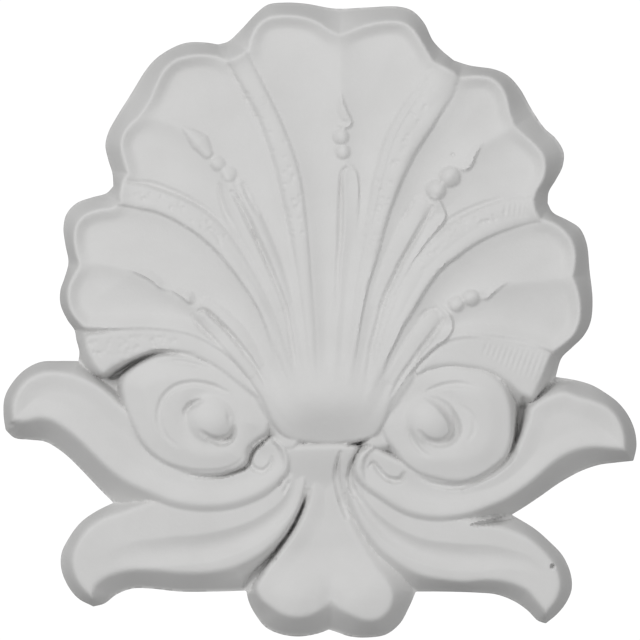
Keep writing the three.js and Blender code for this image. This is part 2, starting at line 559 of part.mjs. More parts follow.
const readStroke = ([path, half, shares, fullness]) => ({ line: smoothLine(path), half, shares, fullness });
const readStep = ([path, widths, shares, raised]) => ({ line: smoothLine(path), widths, shares, raised });

const fan = spokes.map((points) => smoothLine([...points, HUB], 8));
const ridges = dartRidges.map(readStroke);
const grooves = dartGrooves.map(readStroke);
const dartEdges = dartSteps.map(readStep);
const ribEdges = ribSteps.map(readStep);
const eyeLines = [...eyeLeft.grooves, ...eyeRight.grooves].map(readStroke);

// Height of the shell's sheet without its carving.
function sheet(p) {
  return RIM + HUB_RISE * gauss(distanceTo(p, SWELL_CENTRE), SWELL_REACH);
}

// The fan shell: a swell to the hub, a dish behind the rim, then ribs and scooped half panels.
function shellTop(p, fromRim) {
  const [x, y] = p;
  const hub = distanceTo(p, SWELL_CENTRE);
  const rim = Math.max(fromRim, 0);
  const boss = Math.hypot((x - UMBO_CENTRE[0]) / UMBO_HALF[0], (y - UMBO_CENTRE[1]) / UMBO_HALF[1]);
  let h = sheet(p) + UMBO_RISE * Math.exp(-(boss ** 3));
  h -= UMBO_FALL * smooth(...UMBO_FALLS, y) ** 1.5 * gauss(x - UMBO_CENTRE[0], UMBO_FALL_HALF);
  h -= DISH * (rim / DISH_AT) * Math.exp(1 - rim / DISH_AT) * smooth(...DISH_STARTS, hub);
  const fade = smooth(...CARVING_STARTS, hub);
  const offsets = fan.map((line) => {
    const near = nearest(p, line);
    return -near.side * near.distance;
  });
  for (let k = 0; k < fan.length - 1; k++) {
    if (offsets[k] < 0 || offsets[k + 1] >= 0) continue;
    const width = Math.max(offsets[k] - offsets[k + 1], 1e-3);
    const edge = Math.min(offsets[k], -offsets[k + 1]);
    const arch = 4 * (offsets[k] / width) * (1 - offsets[k] / width);
    const bow = (arch * edge) / (edge + RIDGE_ROUND * Math.exp(-edge / RIDGE_ROUND));
    const rib = ribAfterSpoke[k];
    if (rib) {
      h += Math.min(rib, RIB_SLOPE * width * STEP) * bow ** RIB_FULLNESS * fade;
    } else {
      const scoop = SCOOP * (1 - Math.exp((-SCOOP_SLOPE * width * STEP) / SCOOP));
      h -= scoop * bow * smooth(0, SCOOP_STARTS, rim) * fade;
    }
  }
  for (const [at, radius, share] of dartBeads) h += DART * share * bump(distanceTo(p, at) / radius, 0.6);
  h += DART * (strokes(p, ridges) + steps(p, dartEdges)) + RIB_STEP * steps(p, ribEdges);
  return h - GROOVE * strokes(p, grooves);
}

const bandTop = (p) => sheet(p) - BAND_STEP;

function webTop(p) {
  return sheet(p) - WEB_DROP - WEB_FALL * smooth(...WEB_FALLS, p[1]);
}

function neckTop(p) {
  return NECK - NECK_FALL * smooth(...NECK_FALLS, p[1]);
}

function voluteTop(eye) {
  const cuts = eye.grooves.map(readStroke);
  return (p, fromEdge) => {
    const r = distanceTo(p, eye.at);
    let h = VOLUTE + VOLUTE_SWELL * smooth(0, VOLUTE_EDGE, fromEdge);
    h += VOLUTE_LIFT * gauss(distanceTo(p, LIFT_CENTRE), LIFT_REACH);
    h += EYE * bump(r / eye.radius, 1.2) - EYE_RING * gauss(r - eye.ring, eye.ringWidth);
    return h - EYE_LINE * strokes(p, cuts);
  };
}

function upperLeafTop(curl) {
  const rim = curl.rim.map(readStroke);
  const cut = curl.line.map(readStroke);
  return (p, fromEdge) => {
    const h = UPPER_LEAF - LEAF_HOLLOW * smooth(0, LEAF_EDGE, fromEdge);
    return h + CURL_RIM * strokes(p, rim) - CURL * strokes(p, cut);
  };
}

function lowerLeafTop(channel) {
  const cut = [readStroke(channel)];
  return (p) => LOWER_LEAF - CHANNEL * strokes(p, cut);
}

function stemTop(p, fromEdge) {
  const inDrop = smooth(...DROP_STARTS, p[1]);
  let h = STEM + DROP_RISE * smooth(...DROP_SWELLS, p[1]);
  h -= LEAF_HOLLOW * smooth(0, LEAF_EDGE, fromEdge) * (1 - inDrop);
  for (const at of lobes) h += LOBE * gauss(distanceTo(p, at), LOBE_REACH);
  return h - LOBE * gauss(p[0] - NOTCH_AT, NOTCH_HALF) * inDrop;
}

// Each motif: the top inside its crown, and a wall from there down to its foot at the back.
const closedLoop = (points) => smoothLine(points, 6, true);
const motifs = [
  { crown: loopOf(shellCrown), foot: loopOf([...shellOutline, ...shellUnder]), top: shellTop },
  { crown: closedLoop(bandLeft.crown), foot: closedLoop(bandLeft.foot),
    top: bandTop },
  { crown: closedLoop(bandRight.crown), foot: closedLoop(bandRight.foot),
    top: bandTop },
  { crown: loopOf(upperLeftCrown), foot: loopOf([...upperLeftUnder, ...upperLeftOutline]),
    top: upperLeafTop(curlLeft) },
  { crown: loopOf(upperRightCrown), foot: loopOf([...upperRightOutline, ...upperRightUnder]),
    top: upperLeafTop(curlRight) },
  { crown: loopOf(lowerLeftCrown), foot: loopOf([...lowerLeftUnder, ...lowerLeftOutline]),
    top: lowerLeafTop(channelLeft) },
  { crown: loopOf(lowerRightCrown), foot: loopOf([...lowerRightOutline, ...lowerRightUnder]),
    top: lowerLeafTop(channelRight) },
  { crown: loopOf(stemCrown), foot: loopOf([...dropOutline, ...stemUnder]), top: stemTop },
  { crown: closedLoop(neck.crown), foot: closedLoop(neck.foot), top: neckTop },
  { crown: closedLoop(webLeft.crown), foot: closedLoop(webLeft.foot), top: webTop },
  { crown: closedLoop(webRight.crown), foot: closedLoop(webRight.foot), top: webTop },
  { crown: closedLoop(voluteLeft.crown), foot: closedLoop(voluteLeft.foot), top: voluteTop(eyeLeft) },
  { crown: closedLoop(voluteRight.crown), foot: closedLoop(voluteRight.foot), top: voluteTop(eyeRight) },
];
const outlineArcs = [
  ...shellOutline, ...upperRightOutline, ...lowerRightOutline, ...dropOutline, ...lowerLeftOutline,
  ...upperLeftOutline,
];
const outline = loopOf(outlineArcs, FINE);

function motifHeight(p, { crown, foot, top }) {
  const toFoot = depthIn(p, foot);
  if (toFoot <= 0) return 0;
  const fromCrown = depthIn(p, crown);
  const fall = SHOULDER * Math.log1p(Math.exp(Math.min(-fromCrown / SHOULDER, 30)));
  return top(p, fromCrown) * (1 - fall / (fall + toFoot));
}

// The highest motif at a point, melted a little into its neighbour where two meet.
function height(p) {
  let h = Math.min(PLATE, LAND + GROUND_SLOPE * depthIn(p, outline) * STEP);
  for (const motif of motifs) {
    const other = motifHeight(p, motif);
    const melt = Math.max(BLEND - Math.abs(h - other), 0) / BLEND;
    h = Math.max(h, other) + (melt * melt * BLEND) / 4;
  }
  return h;
}

// Mesh points, each kind thinned to keep clear of those before it: the outline, the crowns and the
// creases below them, the carving and the fan's lines, then a staggered grid over the plain areas
// that is a little uneven, so that no four points lie on one circle.
function meshPoints() {
  const points = outline.map((p) => [...p]);
  const cells = new Map();
  const cellOf = (p) => `${Math.floor(p[0] / COARSE)},${Math.floor(p[1] / COARSE)}`;
  const keep = (p) => {
    const key = cellOf(p);
    cells.set(key, [...(cells.get(key) ?? []), p]);
  };
  points.forEach(keep);
  const isClear = (p, gap) => {
    for (let i = -1; i <= 1; i++) {
      for (let j = -1; j <= 1; j++) {
        for (const q of cells.get(cellOf([p[0] + i * COARSE, p[1] + j * COARSE])) ?? []) {
          if (Math.hypot(p[0] - q[0], p[1] - q[1]) < gap) return false;
        }
      }
    }
    return true;
  };
  const offer = (p, gap, margin) => {
    if (!isClear(p, gap) || depthIn(p, outline) < margin) return;
    points.push(p);
    keep(p);
  };
  const offerLine = (line, gap, apart = 0.62, isWanted = () => true, closed = false) => {
    const shape = new THREE.CatmullRomCurve3(line.map(([x, y]) => new THREE.Vector3(x, y, 0)), closed);
    const count = Math.ceil(shape.getLength() / gap);
    for (const { x, y } of shape.getSpacedPoints(count)) {
      if (isWanted([x, y])) offer([x, y], apart * gap, 0.55 * FINE);
    }
  };
  for (const motif of motifs) {
    const isSeen = (p) => motifHeight(p, motif) > height(p) - HIDDEN;
    offerLine(motif.crown, FINE, 0.62, isSeen, true);
  }
  for (const motif of motifs) {
    const isCrease = (p) => depthIn(p, motif.crown) < 0 && depthIn(p, outline) > WALL
      && motifHeight(p, motif) > height(p) - CREASE_HEIGHT;
    for (const way of [-CREASE, CREASE]) {
      offerLine(beside(motif.crown, [way, way]), FINE, 0.5, isCrease);
    }
  }
  for (const { line } of [...dartEdges, ...ribEdges]) {
    for (const way of [-STEP_ROUND, STEP_ROUND]) offerLine(beside(line, [way, way]), FINE, 0.3);
  }
  for (const { line, half } of ridges) {
    offerLine(line, FINE);
    for (const way of [-1, 1]) offerLine(beside(line, half.map((w) => w * way)), FINE);
  }
  for (const { line } of [...grooves, ...eyeLines]) offerLine(line, FINE);
  for (const { line, half } of eyeLines) {
    for (const way of [-1, 1]) offerLine(beside(line, half.map((w) => w * way)), FINE, 0.5);
  }
  for (const line of fan) offerLine(line, FINE + 1);
  for (const k of Object.keys(ribAfterSpoke).map(Number)) {
    offerLine(beside(fan[k], [-RIB_FLANK, -RIB_FLANK]), FINE + 1, 0.35);
    offerLine(beside(fan[k + 1], [RIB_FLANK, RIB_FLANK]), FINE + 1, 0.35);
  }
  const rowGap = COARSE * Math.sin(Math.PI / 3);
  for (let row = 0; row * rowGap < GRID_END; row++) {
    for (let col = 0; col * COARSE < GRID_END; col++) {
      const uneven = 0.6 * Math.sin(row * 12.9 + col * 78.2);
      offer([(col + (row % 2) / 2) * COARSE + uneven, row * rowGap - uneven], 0.75 * COARSE, FINE);
    }
  }
  return points;
}

// A line moved sideways by the width read off a list along it.
function beside(line, widths) {
  return line.map((p, i) => {
    const a = line[Math.max(i - 1, 0)];
    const b = line[Math.min(i + 1, line.length - 1)];
    const length = Math.hypot(b[0] - a[0], b[1] - a[1]);
    const off = listAt(widths, i / (line.length - 1));
    return [p[0] - ((b[1] - a[1]) / length) * off, p[1] + ((b[0] - a[0]) / length) * off];
  });
}

// Delaunay triangles over points, by adding them one at a time.
function delaunay(points) {
  const far = 20 * GRID_END;
  const all = [...points, [-far, -far], [2 * far, -far], [0, 2 * far]];
  const round = ([a, b, c]) => {
    const [ax, ay] = all[a];
    const bx = all[b][0] - ax;
    const by = all[b][1] - ay;
    const cx = all[c][0] - ax;
    const cy = all[c][1] - ay;
    const d = 2 * (bx * cy - by * cx);
    const x = (cy * (bx * bx + by * by) - by * (cx * cx + cy * cy)) / d;
    const y = (bx * (cx * cx + cy * cy) - cx * (bx * bx + by * by)) / d;
    return { corners: [a, b, c], x: x + ax, y: y + ay, reach: x * x + y * y };
  };
  const n = points.length;
  let triangles = [round([n, n + 1, n + 2])];
  for (let i = 0; i < n; i++) {
    const [x, y] = all[i];
    const edges = new Map();
    const kept = [];
    for (const t of triangles) {
      if ((t.x - x) ** 2 + (t.y - y) ** 2 >= t.reach) {
        kept.push(t);
        continue;
      }
      for (let e = 0; e < 3; e++) {
        const a = t.corners[e];
        const b = t.corners[(e + 1) % 3];
        if (edges.has(`${b},${a}`)) edges.delete(`${b},${a}`);
        else edges.set(`${a},${b}`, [a, b]);
      }
    }
    for (const [a, b] of edges.values()) kept.push(round([a, b, i]));
    triangles = kept;
  }
  return triangles.map((t) => t.corners).filter((t) => Math.max(...t) < n);
}

// Swaps the shared edge of two neighbouring triangles wherever that folds the surface less, so that
// the edges follow the creases. Triangles run anticlockwise as seen from the front.
function followCreases(triangles, points, spots) {
  const owner = new Map();
  const own = (t) => {
    triangles[t].forEach((p, i) => owner.set(`${p},${triangles[t][(i + 1) % 3]}`, t));
  };
  triangles.forEach((_, t) => own(t));
  const facing = ([a, b, c]) => {
    const side = spots[b].clone().sub(spots[a]);
    return side.cross(spots[c].clone().sub(spots[a])).normalize();
  };
  const isSound = (corners) => {
    const [p, q, r] = corners.map((i) => points[i]);
    const area = (r[0] - p[0]) * (q[1] - p[1]) - (q[0] - p[0]) * (r[1] - p[1]);
    const sides = [[p, q], [q, r], [r, p]].map(([u, v]) => (u[0] - v[0]) ** 2 + (u[1] - v[1]) ** 2);
    return area > SLIMMEST * Math.max(...sides);
  };
  const folding = (pair) => {
    const faces = pair.map(facing);
    let sum = 0;
    pair.forEach((corners, k) => {
      for (let i = 0; i < 3; i++) {
        const p = corners[i];
        const q = corners[(i + 1) % 3];
        const isShared = pair[1 - k].includes(p) && pair[1 - k].includes(q);
        const next = owner.get(`${q},${p}`);
        if (!isShared && next === undefined) continue;
        const beyond = isShared ? faces[1 - k] : facing(triangles[next]);
        sum += spots[p].distanceTo(spots[q]) * faces[k].angleTo(beyond) * (isShared ? 0.5 : 1);
      }
    });
    return sum;
  };
  for (let sweep = 0; sweep < SWEEPS; sweep++) {
    for (let s = 0; s < triangles.length; s++) {
      for (let e = 0; e < 3; e++) {
        const [a, b, c] = [0, 1, 2].map((k) => triangles[s][(e + k) % 3]);
        const t = owner.get(`${b},${a}`);
        if (t === undefined) continue;
        const d = triangles[t].find((i) => i !== a && i !== b);
        const swapped = [[a, d, c], [d, b, c]];
        if (!swapped.every(isSound)) continue;
        if (folding(swapped) > folding([[a, b, c], [b, a, d]]) - LEAST_GAIN) continue;
        owner.delete(`${a},${b}`);
        owner.delete(`${b},${a}`);
        [triangles[s], triangles[t]] = swapped;
        own(s);
        own(t);
      }
    }
  }
  return triangles;
}

// The casting: triangles over the front, with heights, closed by the upright edge and the back.
function casting() {
  const points = meshPoints();
  const position = [];
  const place = (p, h) => {
    const x = (p[0] - ORIGIN[0]) * STEP;
    const y = (p[1] - ORIGIN[1]) * STEP;
    position.push(x * Math.cos(LEAN) + y * Math.sin(LEAN), -h, x * Math.sin(LEAN) - y * Math.cos(LEAN));
  };
  points.forEach((p, i) => place(p, i < outline.length ? LAND : height(p)));
  for (const p of outline) place(p, 0);
  const spots = points.map((_, i) => new THREE.Vector3().fromArray(position, 3 * i));
  const front = delaunay(points)
    .filter((t) => isInside([0, 1].map((k) => t.reduce((sum, i) => sum + points[i][k] / 3, 0)), outline))
    .map(([a, b, c]) => [a, c, b]);
  const index = followCreases(front, points, spots).flat();
  const backAt = points.length;
  const back = THREE.ShapeUtils.triangulateShape(outline.map(([x, y]) => new THREE.Vector2(x, y)), []);
  for (const [a, b, c] of back) index.push(backAt + a, backAt + b, backAt + c);
  for (let i = 0; i < outline.length; i++) {
    const j = (i + 1) % outline.length;
    index.push(i, j, backAt + j, i, backAt + j, backAt + i);
  }
  const geometry = new THREE.BufferGeometry();
  geometry.setAttribute('position', new THREE.Float32BufferAttribute(position, 3));
  geometry.setIndex(index);
  geometry.computeVertexNormals();
  return geometry;
}

const primedWhite = new THREE.MeshStandardMaterial({ color: 0xe9e8e6, roughness: 0.62, metalness: 0 });
const onlay = new THREE.Mesh(casting(), primedWhite);
onlay.name = 'shell_onlay';

const part = new THREE.Group();
part.add(onlay);
export default part;
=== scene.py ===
# Looks of the cast shell onlay: the CAD solid's carving again as a fine mesh, with the small
# relief that the solid leaves out, a primed casting material, soft studio light and a camera.
import math

import bpy
import numpy as np
from mathutils import Matrix, Vector
from mathutils.geometry import delaunay_2d_cdt


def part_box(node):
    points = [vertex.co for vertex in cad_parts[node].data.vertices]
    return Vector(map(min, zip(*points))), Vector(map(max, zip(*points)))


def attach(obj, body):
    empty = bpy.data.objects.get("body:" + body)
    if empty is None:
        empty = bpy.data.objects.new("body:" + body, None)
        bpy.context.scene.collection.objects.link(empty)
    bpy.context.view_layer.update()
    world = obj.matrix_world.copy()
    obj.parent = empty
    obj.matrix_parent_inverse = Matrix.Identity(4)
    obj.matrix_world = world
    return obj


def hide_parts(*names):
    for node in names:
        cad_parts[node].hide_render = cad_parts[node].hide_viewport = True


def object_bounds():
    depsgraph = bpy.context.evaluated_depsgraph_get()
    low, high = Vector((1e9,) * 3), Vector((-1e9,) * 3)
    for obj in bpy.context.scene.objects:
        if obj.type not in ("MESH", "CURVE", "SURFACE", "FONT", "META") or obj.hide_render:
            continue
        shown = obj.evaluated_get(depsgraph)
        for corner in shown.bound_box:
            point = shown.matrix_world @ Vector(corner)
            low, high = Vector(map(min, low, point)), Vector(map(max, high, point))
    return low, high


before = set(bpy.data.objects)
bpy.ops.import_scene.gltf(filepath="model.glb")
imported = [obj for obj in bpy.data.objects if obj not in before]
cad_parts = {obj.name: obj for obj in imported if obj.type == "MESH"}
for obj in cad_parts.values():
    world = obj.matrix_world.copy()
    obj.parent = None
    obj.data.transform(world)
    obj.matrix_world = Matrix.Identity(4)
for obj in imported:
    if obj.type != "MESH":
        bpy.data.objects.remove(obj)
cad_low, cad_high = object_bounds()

NODE = "shell_onlay"
SLOT = "primed_casting"

# Points lie on a grid of 636 steps across the casting, x to the right and y down, picked on
# the leaning piece. Heights are millimetres in front of the back.
WIDTH = 220.0
STEPS = 636
MM = WIDTH / STEPS
PICTURE = 640  # steps that the picture is wide and high
LEAN = math.radians(1.8)
ORIGIN = (330, 320)

# Heights and depths, in mm.
PLATE = 3.2  # the ground in the pockets
LAND = 0.8  # the upright edge round the back, below the drafted walls
RIM = 13.4  # the shell at its lobed rim
HUB_RISE = 6.6  # the shell's swell towards the hub
UMBO_RISE = 1.8  # the boss at the hub
UMBO_FALL = 7.4  # its fall to the neck
DISH = 1.6  # the hollow just inside the rim
SCOOP = 2.1  # the deepest a half panel is scooped out
BAND_STEP = 0.7  # from the shell down to the crimped bands under it
VOLUTE = 15.2  # the edge of the volutes
VOLUTE_SWELL = 1.6
VOLUTE_LIFT = 1.6  # their rise towards the shell
EYE = 2.4  # the bosses in the volutes
EYE_RING = 0.9  # the hollow round them
WEB_DROP = 0.9  # from the shell to the slopes beside the volutes
WEB_FALL = 3.4  # and their fall below the hub
NECK = 15.2  # the top of the stem under the hub
NECK_FALL = 5.6
UPPER_LEAF = 14.0
LOWER_LEAF = 11.6
LEAF_HOLLOW = 1.2
STEM = 10.8
DROP_RISE = 2.4  # the swell of the stem into the drop
LOBE = 1.4
BLEND = 0.3  # how far motifs melt together where they meet
CRIMP = 0.32  # the lines pressed across the right band and a rib
DIMPLE = 0.3  # the stippling of the ribs and the left band

# Where these forms swell, start and stop, in steps on the grid.
SWELL_CENTRE = (328, 418)
SWELL_REACH = 165
UMBO_CENTRE = (328, 412)
UMBO_HALF = (52, 44)
UMBO_FALLS = (385, 450)
UMBO_FALL_HALF = 60
DISH_AT = 16
DISH_STARTS = (90, 160)
CARVING_STARTS = (26, 80)
SCOOP_STARTS = 14
SCOOP_SLOPE = 0.15  # depth of a narrow scoop as a share of its width
RIB_SLOPE = 0.24  # height of a narrow rib as a share of its width
RIB_FULLNESS = 0.4
RIDGE_ROUND = 6.0  # of the ridges between half panels
LEDGE_ROUND = 1.1
SHOULDER = 1.4  # rounding of the crown edges
GROUND_SLOPE = 0.45  # of the ground in from the outline
WEB_FALLS = (400, 438)
NECK_FALLS = (440, 498)
VOLUTE_EDGE = 26
EYE_LEFT = ((211, 419), 24, 26, 8)  # centre, radius, and the ring's radius and breadth
EYE_RIGHT = ((430, 420), 25, 28, 9)
EYE_FULLNESS = 1.2
LIFT_CENTRE = (328, 400)
LIFT_REACH = 105
LEAF_EDGE = 22
STEM_SINKS = (445, 480)
DROP_SWELLS = (545, 590)
DROP_STARTS = (560, 600)
LOBES = ((298, 596), (364, 598))
LOBE_REACH = 20
NOTCH_AT = 331
NOTCH_HALF = 10
LEAST_WIDTH = 1e-3

# Outline of the back, as arcs from notch to notch. Each arc of a loop starts where the one before
# it ends, and that point isn't repeated.
SHELL_OUTLINE = [
    [(79, 352), (76, 340), (74, 330), (67, 320), (60, 304), (60, 290), (64, 278), (68, 262),
     (65, 245), (63, 228), (66, 214), (76, 203), (92, 197), (106, 193), (113, 186)],
    [(112, 173), (108, 160), (105, 145), (108, 132), (116, 117), (131, 93), (146, 69), (157, 57),
     (175, 46), (188, 42), (205, 42), (218, 44)],
    [(228, 41), (241, 29), (257, 12), (268, 4), (285, 2), (305, 3), (335, 8), (365, 7), (398, 6),
     (412, 10), (424, 22), (433, 40), (442, 50), (454, 60)],
    [(470, 65), (495, 69), (508, 75), (520, 88), (532, 109), (545, 128), (556, 138), (564, 152),
     (563, 166), (556, 180), (549, 192), (548, 203)],
    [(553, 212), (568, 220), (580, 228), (587, 243), (590, 270), (593, 300), (591, 322), (584, 336),
     (572, 348), (562, 358), (556, 377)],
]
UPPER_RIGHT_OUTLINE = [
    [(575, 380), (592, 385), (606, 393), (619, 403), (629, 416), (635, 430), (637, 446),
     (634, 461)],
    [(615, 463), (600, 465), (582, 471), (560, 483), (540, 497), (525, 507), (512, 515)],
]
LOWER_RIGHT_OUTLINE = [
    [(535, 529), (550, 542), (563, 556), (571, 574), (572, 590), (566, 604), (557, 615),
     (546, 624)],
    [(538, 621), (528, 611), (515, 602), (497, 595), (475, 593), (440, 592), (416, 592)],
]
DROP_OUTLINE = [
    [(409, 608), (400, 624), (386, 635), (368, 638), (350, 637), (338, 633), (329, 630)],
    [(318, 634), (300, 637), (282, 635), (266, 628), (256, 616), (249, 603), (246, 591)],
]
LOWER_LEFT_OUTLINE = [
    [(215, 592), (180, 592), (150, 589), (132, 589), (116, 595), (104, 604), (93, 607)],
    [(78, 599), (68, 587), (61, 570), (61, 554), (68, 539), (80, 523), (95, 512), (113, 503)],
]
UPPER_LEFT_OUTLINE = [
    [(98, 488), (80, 469), (63, 453), (45, 442), (30, 440), (14, 438), (5, 430)],
    [(3, 415), (4, 398), (11, 384), (24, 370), (40, 362), (58, 361), (78, 361)],
]

# Where the walls of each motif would reach the back under its neighbours.
SHELL_UNDER = [
    [(535, 395), (500, 400), (460, 395), (425, 410), (398, 430), (378, 441), (362, 445), (330, 445),
     (290, 444), (268, 438), (246, 415), (215, 395), (180, 385), (140, 380), (104, 372), (78, 361)],
]
UPPER_LEFT_UNDER = [
    [(100, 378), (125, 395), (160, 420), (230, 430), (275, 428), (297, 440), (303, 462)],
    [(302, 490), (282, 520), (245, 538), (205, 543), (168, 536), (138, 519), (113, 503)],
]
UPPER_RIGHT_UNDER = [
    [(492, 520), (472, 532), (445, 543), (412, 540), (382, 526), (356, 506), (342, 486), (339, 462),
     (350, 444), (372, 436)],
    [(420, 460), (500, 450), (514, 440), (520, 424), (523, 408), (531, 397), (556, 377)],
]
LOWER_LEFT_UNDER = [
    [(160, 490), (230, 480), (280, 450), (292, 430), (325, 436), (322, 462), (312, 488), (301, 515),
     (288, 538), (272, 558), (258, 575), (246, 591)],
]
LOWER_RIGHT_UNDER = [
    [(402, 588), (380, 576), (358, 556), (342, 530), (332, 500), (328, 470), (336, 440), (372, 435),
     (430, 480), (480, 505), (512, 515)],
]
STEM_UNDER = [
    [(254, 577), (268, 558), (284, 537), (297, 514), (300, 493), (290, 470), (285, 446), (300, 430),
     (345, 430), (372, 444), (362, 468), (362, 490), (372, 512), (388, 532), (404, 548), (412, 562),
     (416, 592)],
]

# Crowns: the edge where a motif's top turns over into its wall.
SHELL_CROWN = [
    [(78, 322), (71, 312), (68, 300), (68, 288), (73, 276), (79, 265), (76, 254), (74, 240),
     (76, 226), (84, 216), (98, 210), (112, 208), (121, 203)],
    [(120, 192), (123, 180), (128, 174)],
    [(124, 160), (121, 146), (124, 133), (131, 124), (138, 118)],
    [(146, 107), (151, 98), (156, 86), (163, 72), (174, 61), (190, 56), (205, 55), (218, 57),
     (228, 62)],
    [(236, 58), (248, 52)],
    [(251, 38), (257, 26), (266, 19), (280, 16), (300, 17), (316, 22), (330, 31), (340, 36)],
    [(350, 32), (365, 26), (385, 22), (402, 23), (412, 29), (421, 41), (430, 57), (433, 62)],
    [(444, 67), (454, 73), (458, 78)],
    [(475, 76), (490, 78), (500, 86), (506, 98), (509, 112), (514, 127)],
    [(524, 136), (534, 145), (542, 155), (545, 167), (543, 180), (537, 190), (533, 199)],
    [(535, 210), (540, 220)],
    [(552, 222), (564, 231), (572, 243), (575, 256), (574, 268), (572, 277)],
    [(577, 290), (580, 306), (579, 322), (573, 336), (562, 346), (553, 352)],
    [(525, 344), (495, 337), (462, 336), (436, 344), (412, 368), (392, 400), (383, 424), (374, 438),
     (345, 445), (310, 445), (286, 439), (273, 422), (262, 398), (240, 366), (215, 345), (190, 333),
     (150, 327), (110, 328), (86, 329)],
]
UPPER_LEFT_CROWN = [
    [(25, 421), (40, 418), (52, 420), (64, 427), (80, 440), (95, 455), (110, 469), (127, 481),
     (148, 491), (170, 500), (190, 504), (210, 505), (230, 503), (250, 497), (265, 490), (278, 480),
     (286, 470), (288, 458), (283, 445), (272, 438)],
    [(250, 436), (200, 440), (150, 425), (120, 404)],
    [(106, 390), (90, 380), (74, 374), (58, 371), (42, 372), (27, 379), (16, 393), (12, 407),
     (13, 421)],
]
UPPER_RIGHT_CROWN = [
    [(360, 455), (356, 470), (364, 484), (380, 495), (395, 505), (410, 512), (430, 516), (450, 516),
     (470, 513), (490, 506), (507, 498), (522, 488), (536, 477), (548, 466), (560, 457), (575, 450),
     (592, 447), (608, 448), (625, 450)],
    [(624, 434), (618, 418), (608, 407), (595, 401), (580, 397), (565, 392), (552, 394), (540, 400),
     (530, 408), (526, 421), (520, 437), (513, 452), (490, 470), (430, 470), (390, 455),
     (372, 446)],
]
LOWER_LEFT_CROWN = [
    [(95, 586), (104, 578), (116, 573), (132, 570), (155, 570), (180, 572), (205, 572), (232, 567),
     (254, 558), (272, 546), (287, 529), (298, 511), (305, 490), (307, 468), (304, 448)],
    [(295, 446), (288, 452), (262, 475), (220, 488), (160, 498), (120, 512), (100, 519), (86, 530),
     (76, 545), (72, 560), (76, 578), (84, 590), (92, 597)],
]
LOWER_RIGHT_CROWN = [
    [(347, 468), (348, 490), (355, 510), (366, 530), (380, 548), (396, 561), (412, 571), (428, 577),
     (445, 580), (465, 582), (485, 580), (502, 581), (517, 585), (528, 591), (537, 602),
     (546, 613)],
    [(555, 602), (560, 588), (558, 572), (550, 558), (538, 545), (524, 535), (508, 529), (480, 522),
     (430, 512), (390, 500), (365, 480), (356, 462), (350, 450)],
]
STEM_CROWN = [
    [(322, 609), (310, 615), (296, 617), (283, 614), (271, 607), (261, 599), (256, 588), (260, 577),
     (268, 565), (278, 553), (289, 539), (300, 520), (309, 498), (313, 476), (312, 455),
     (316, 442)],
    [(338, 442), (339, 458), (338, 478), (341, 497), (348, 517), (358, 538), (369, 556), (380, 572),
     (389, 584), (393, 597), (389, 610), (378, 619), (365, 620), (352, 615), (340, 609),
     (331, 602)],
]

# Rounded motifs: closed crown and foot loops.
BAND_LEFT_CROWN = [
    (86, 336), (110, 330), (150, 327), (185, 330), (215, 345), (245, 372), (262, 400), (240, 385),
    (215, 366), (195, 356), (175, 352), (158, 351), (144, 355), (128, 361), (113, 368), (104, 375),
    (97, 370), (91, 360), (86, 348),
]
BAND_LEFT_FOOT = [
    (78, 332), (110, 326), (150, 322), (190, 326), (220, 340), (250, 365), (272, 405), (262, 410),
    (235, 398), (212, 384), (192, 375), (174, 369), (160, 365), (148, 362), (134, 366), (120, 373),
    (108, 380), (95, 378), (80, 362), (76, 348),
]
BAND_RIGHT_CROWN = [
    (430, 352), (455, 338), (480, 335), (510, 340), (535, 346), (551, 353), (546, 366), (540, 382),
    (532, 398), (521, 393), (509, 382), (492, 371), (471, 366), (448, 364), (430, 368), (412, 378),
]
BAND_RIGHT_FOOT = [
    (425, 345), (452, 332), (480, 329), (512, 334), (540, 340), (558, 350), (558, 366), (550, 384),
    (536, 405), (520, 412), (502, 405), (486, 398), (468, 392), (446, 390), (426, 392), (403, 398),
]
VOLUTE_LEFT_CROWN = [
    (122, 383), (124, 402), (131, 422), (141, 442), (153, 455), (168, 465), (185, 471), (203, 474),
    (222, 473), (240, 467), (247, 460), (248, 450), (256, 441), (266, 434), (269, 424), (262, 405),
    (250, 388), (232, 374), (210, 364), (185, 357), (160, 356), (142, 362), (128, 372),
]
VOLUTE_LEFT_FOOT = [
    (116, 379), (118, 402), (125, 424), (136, 446), (149, 461), (166, 471), (185, 477), (203, 480),
    (222, 479), (243, 473), (253, 466), (254, 454), (261, 446), (273, 438), (288, 425), (278, 390),
    (260, 365), (238, 346), (208, 338), (180, 339), (154, 349), (133, 362),
]
VOLUTE_RIGHT_CROWN = [
    (384, 436), (380, 420), (386, 402), (400, 385), (420, 373), (445, 368), (470, 369), (490, 374),
    (503, 387), (510, 405), (512, 425), (511, 443), (505, 457), (494, 469), (478, 478), (460, 482),
    (440, 480), (420, 474), (405, 464), (394, 450),
]
VOLUTE_RIGHT_FOOT = [
    (374, 440), (364, 420), (372, 392), (390, 368), (414, 352), (445, 348), (474, 352), (500, 363),
    (516, 381), (520, 403), (518, 425), (515, 447), (511, 463), (498, 475), (482, 484), (462, 489),
    (438, 487), (416, 480), (400, 470), (387, 456),
]

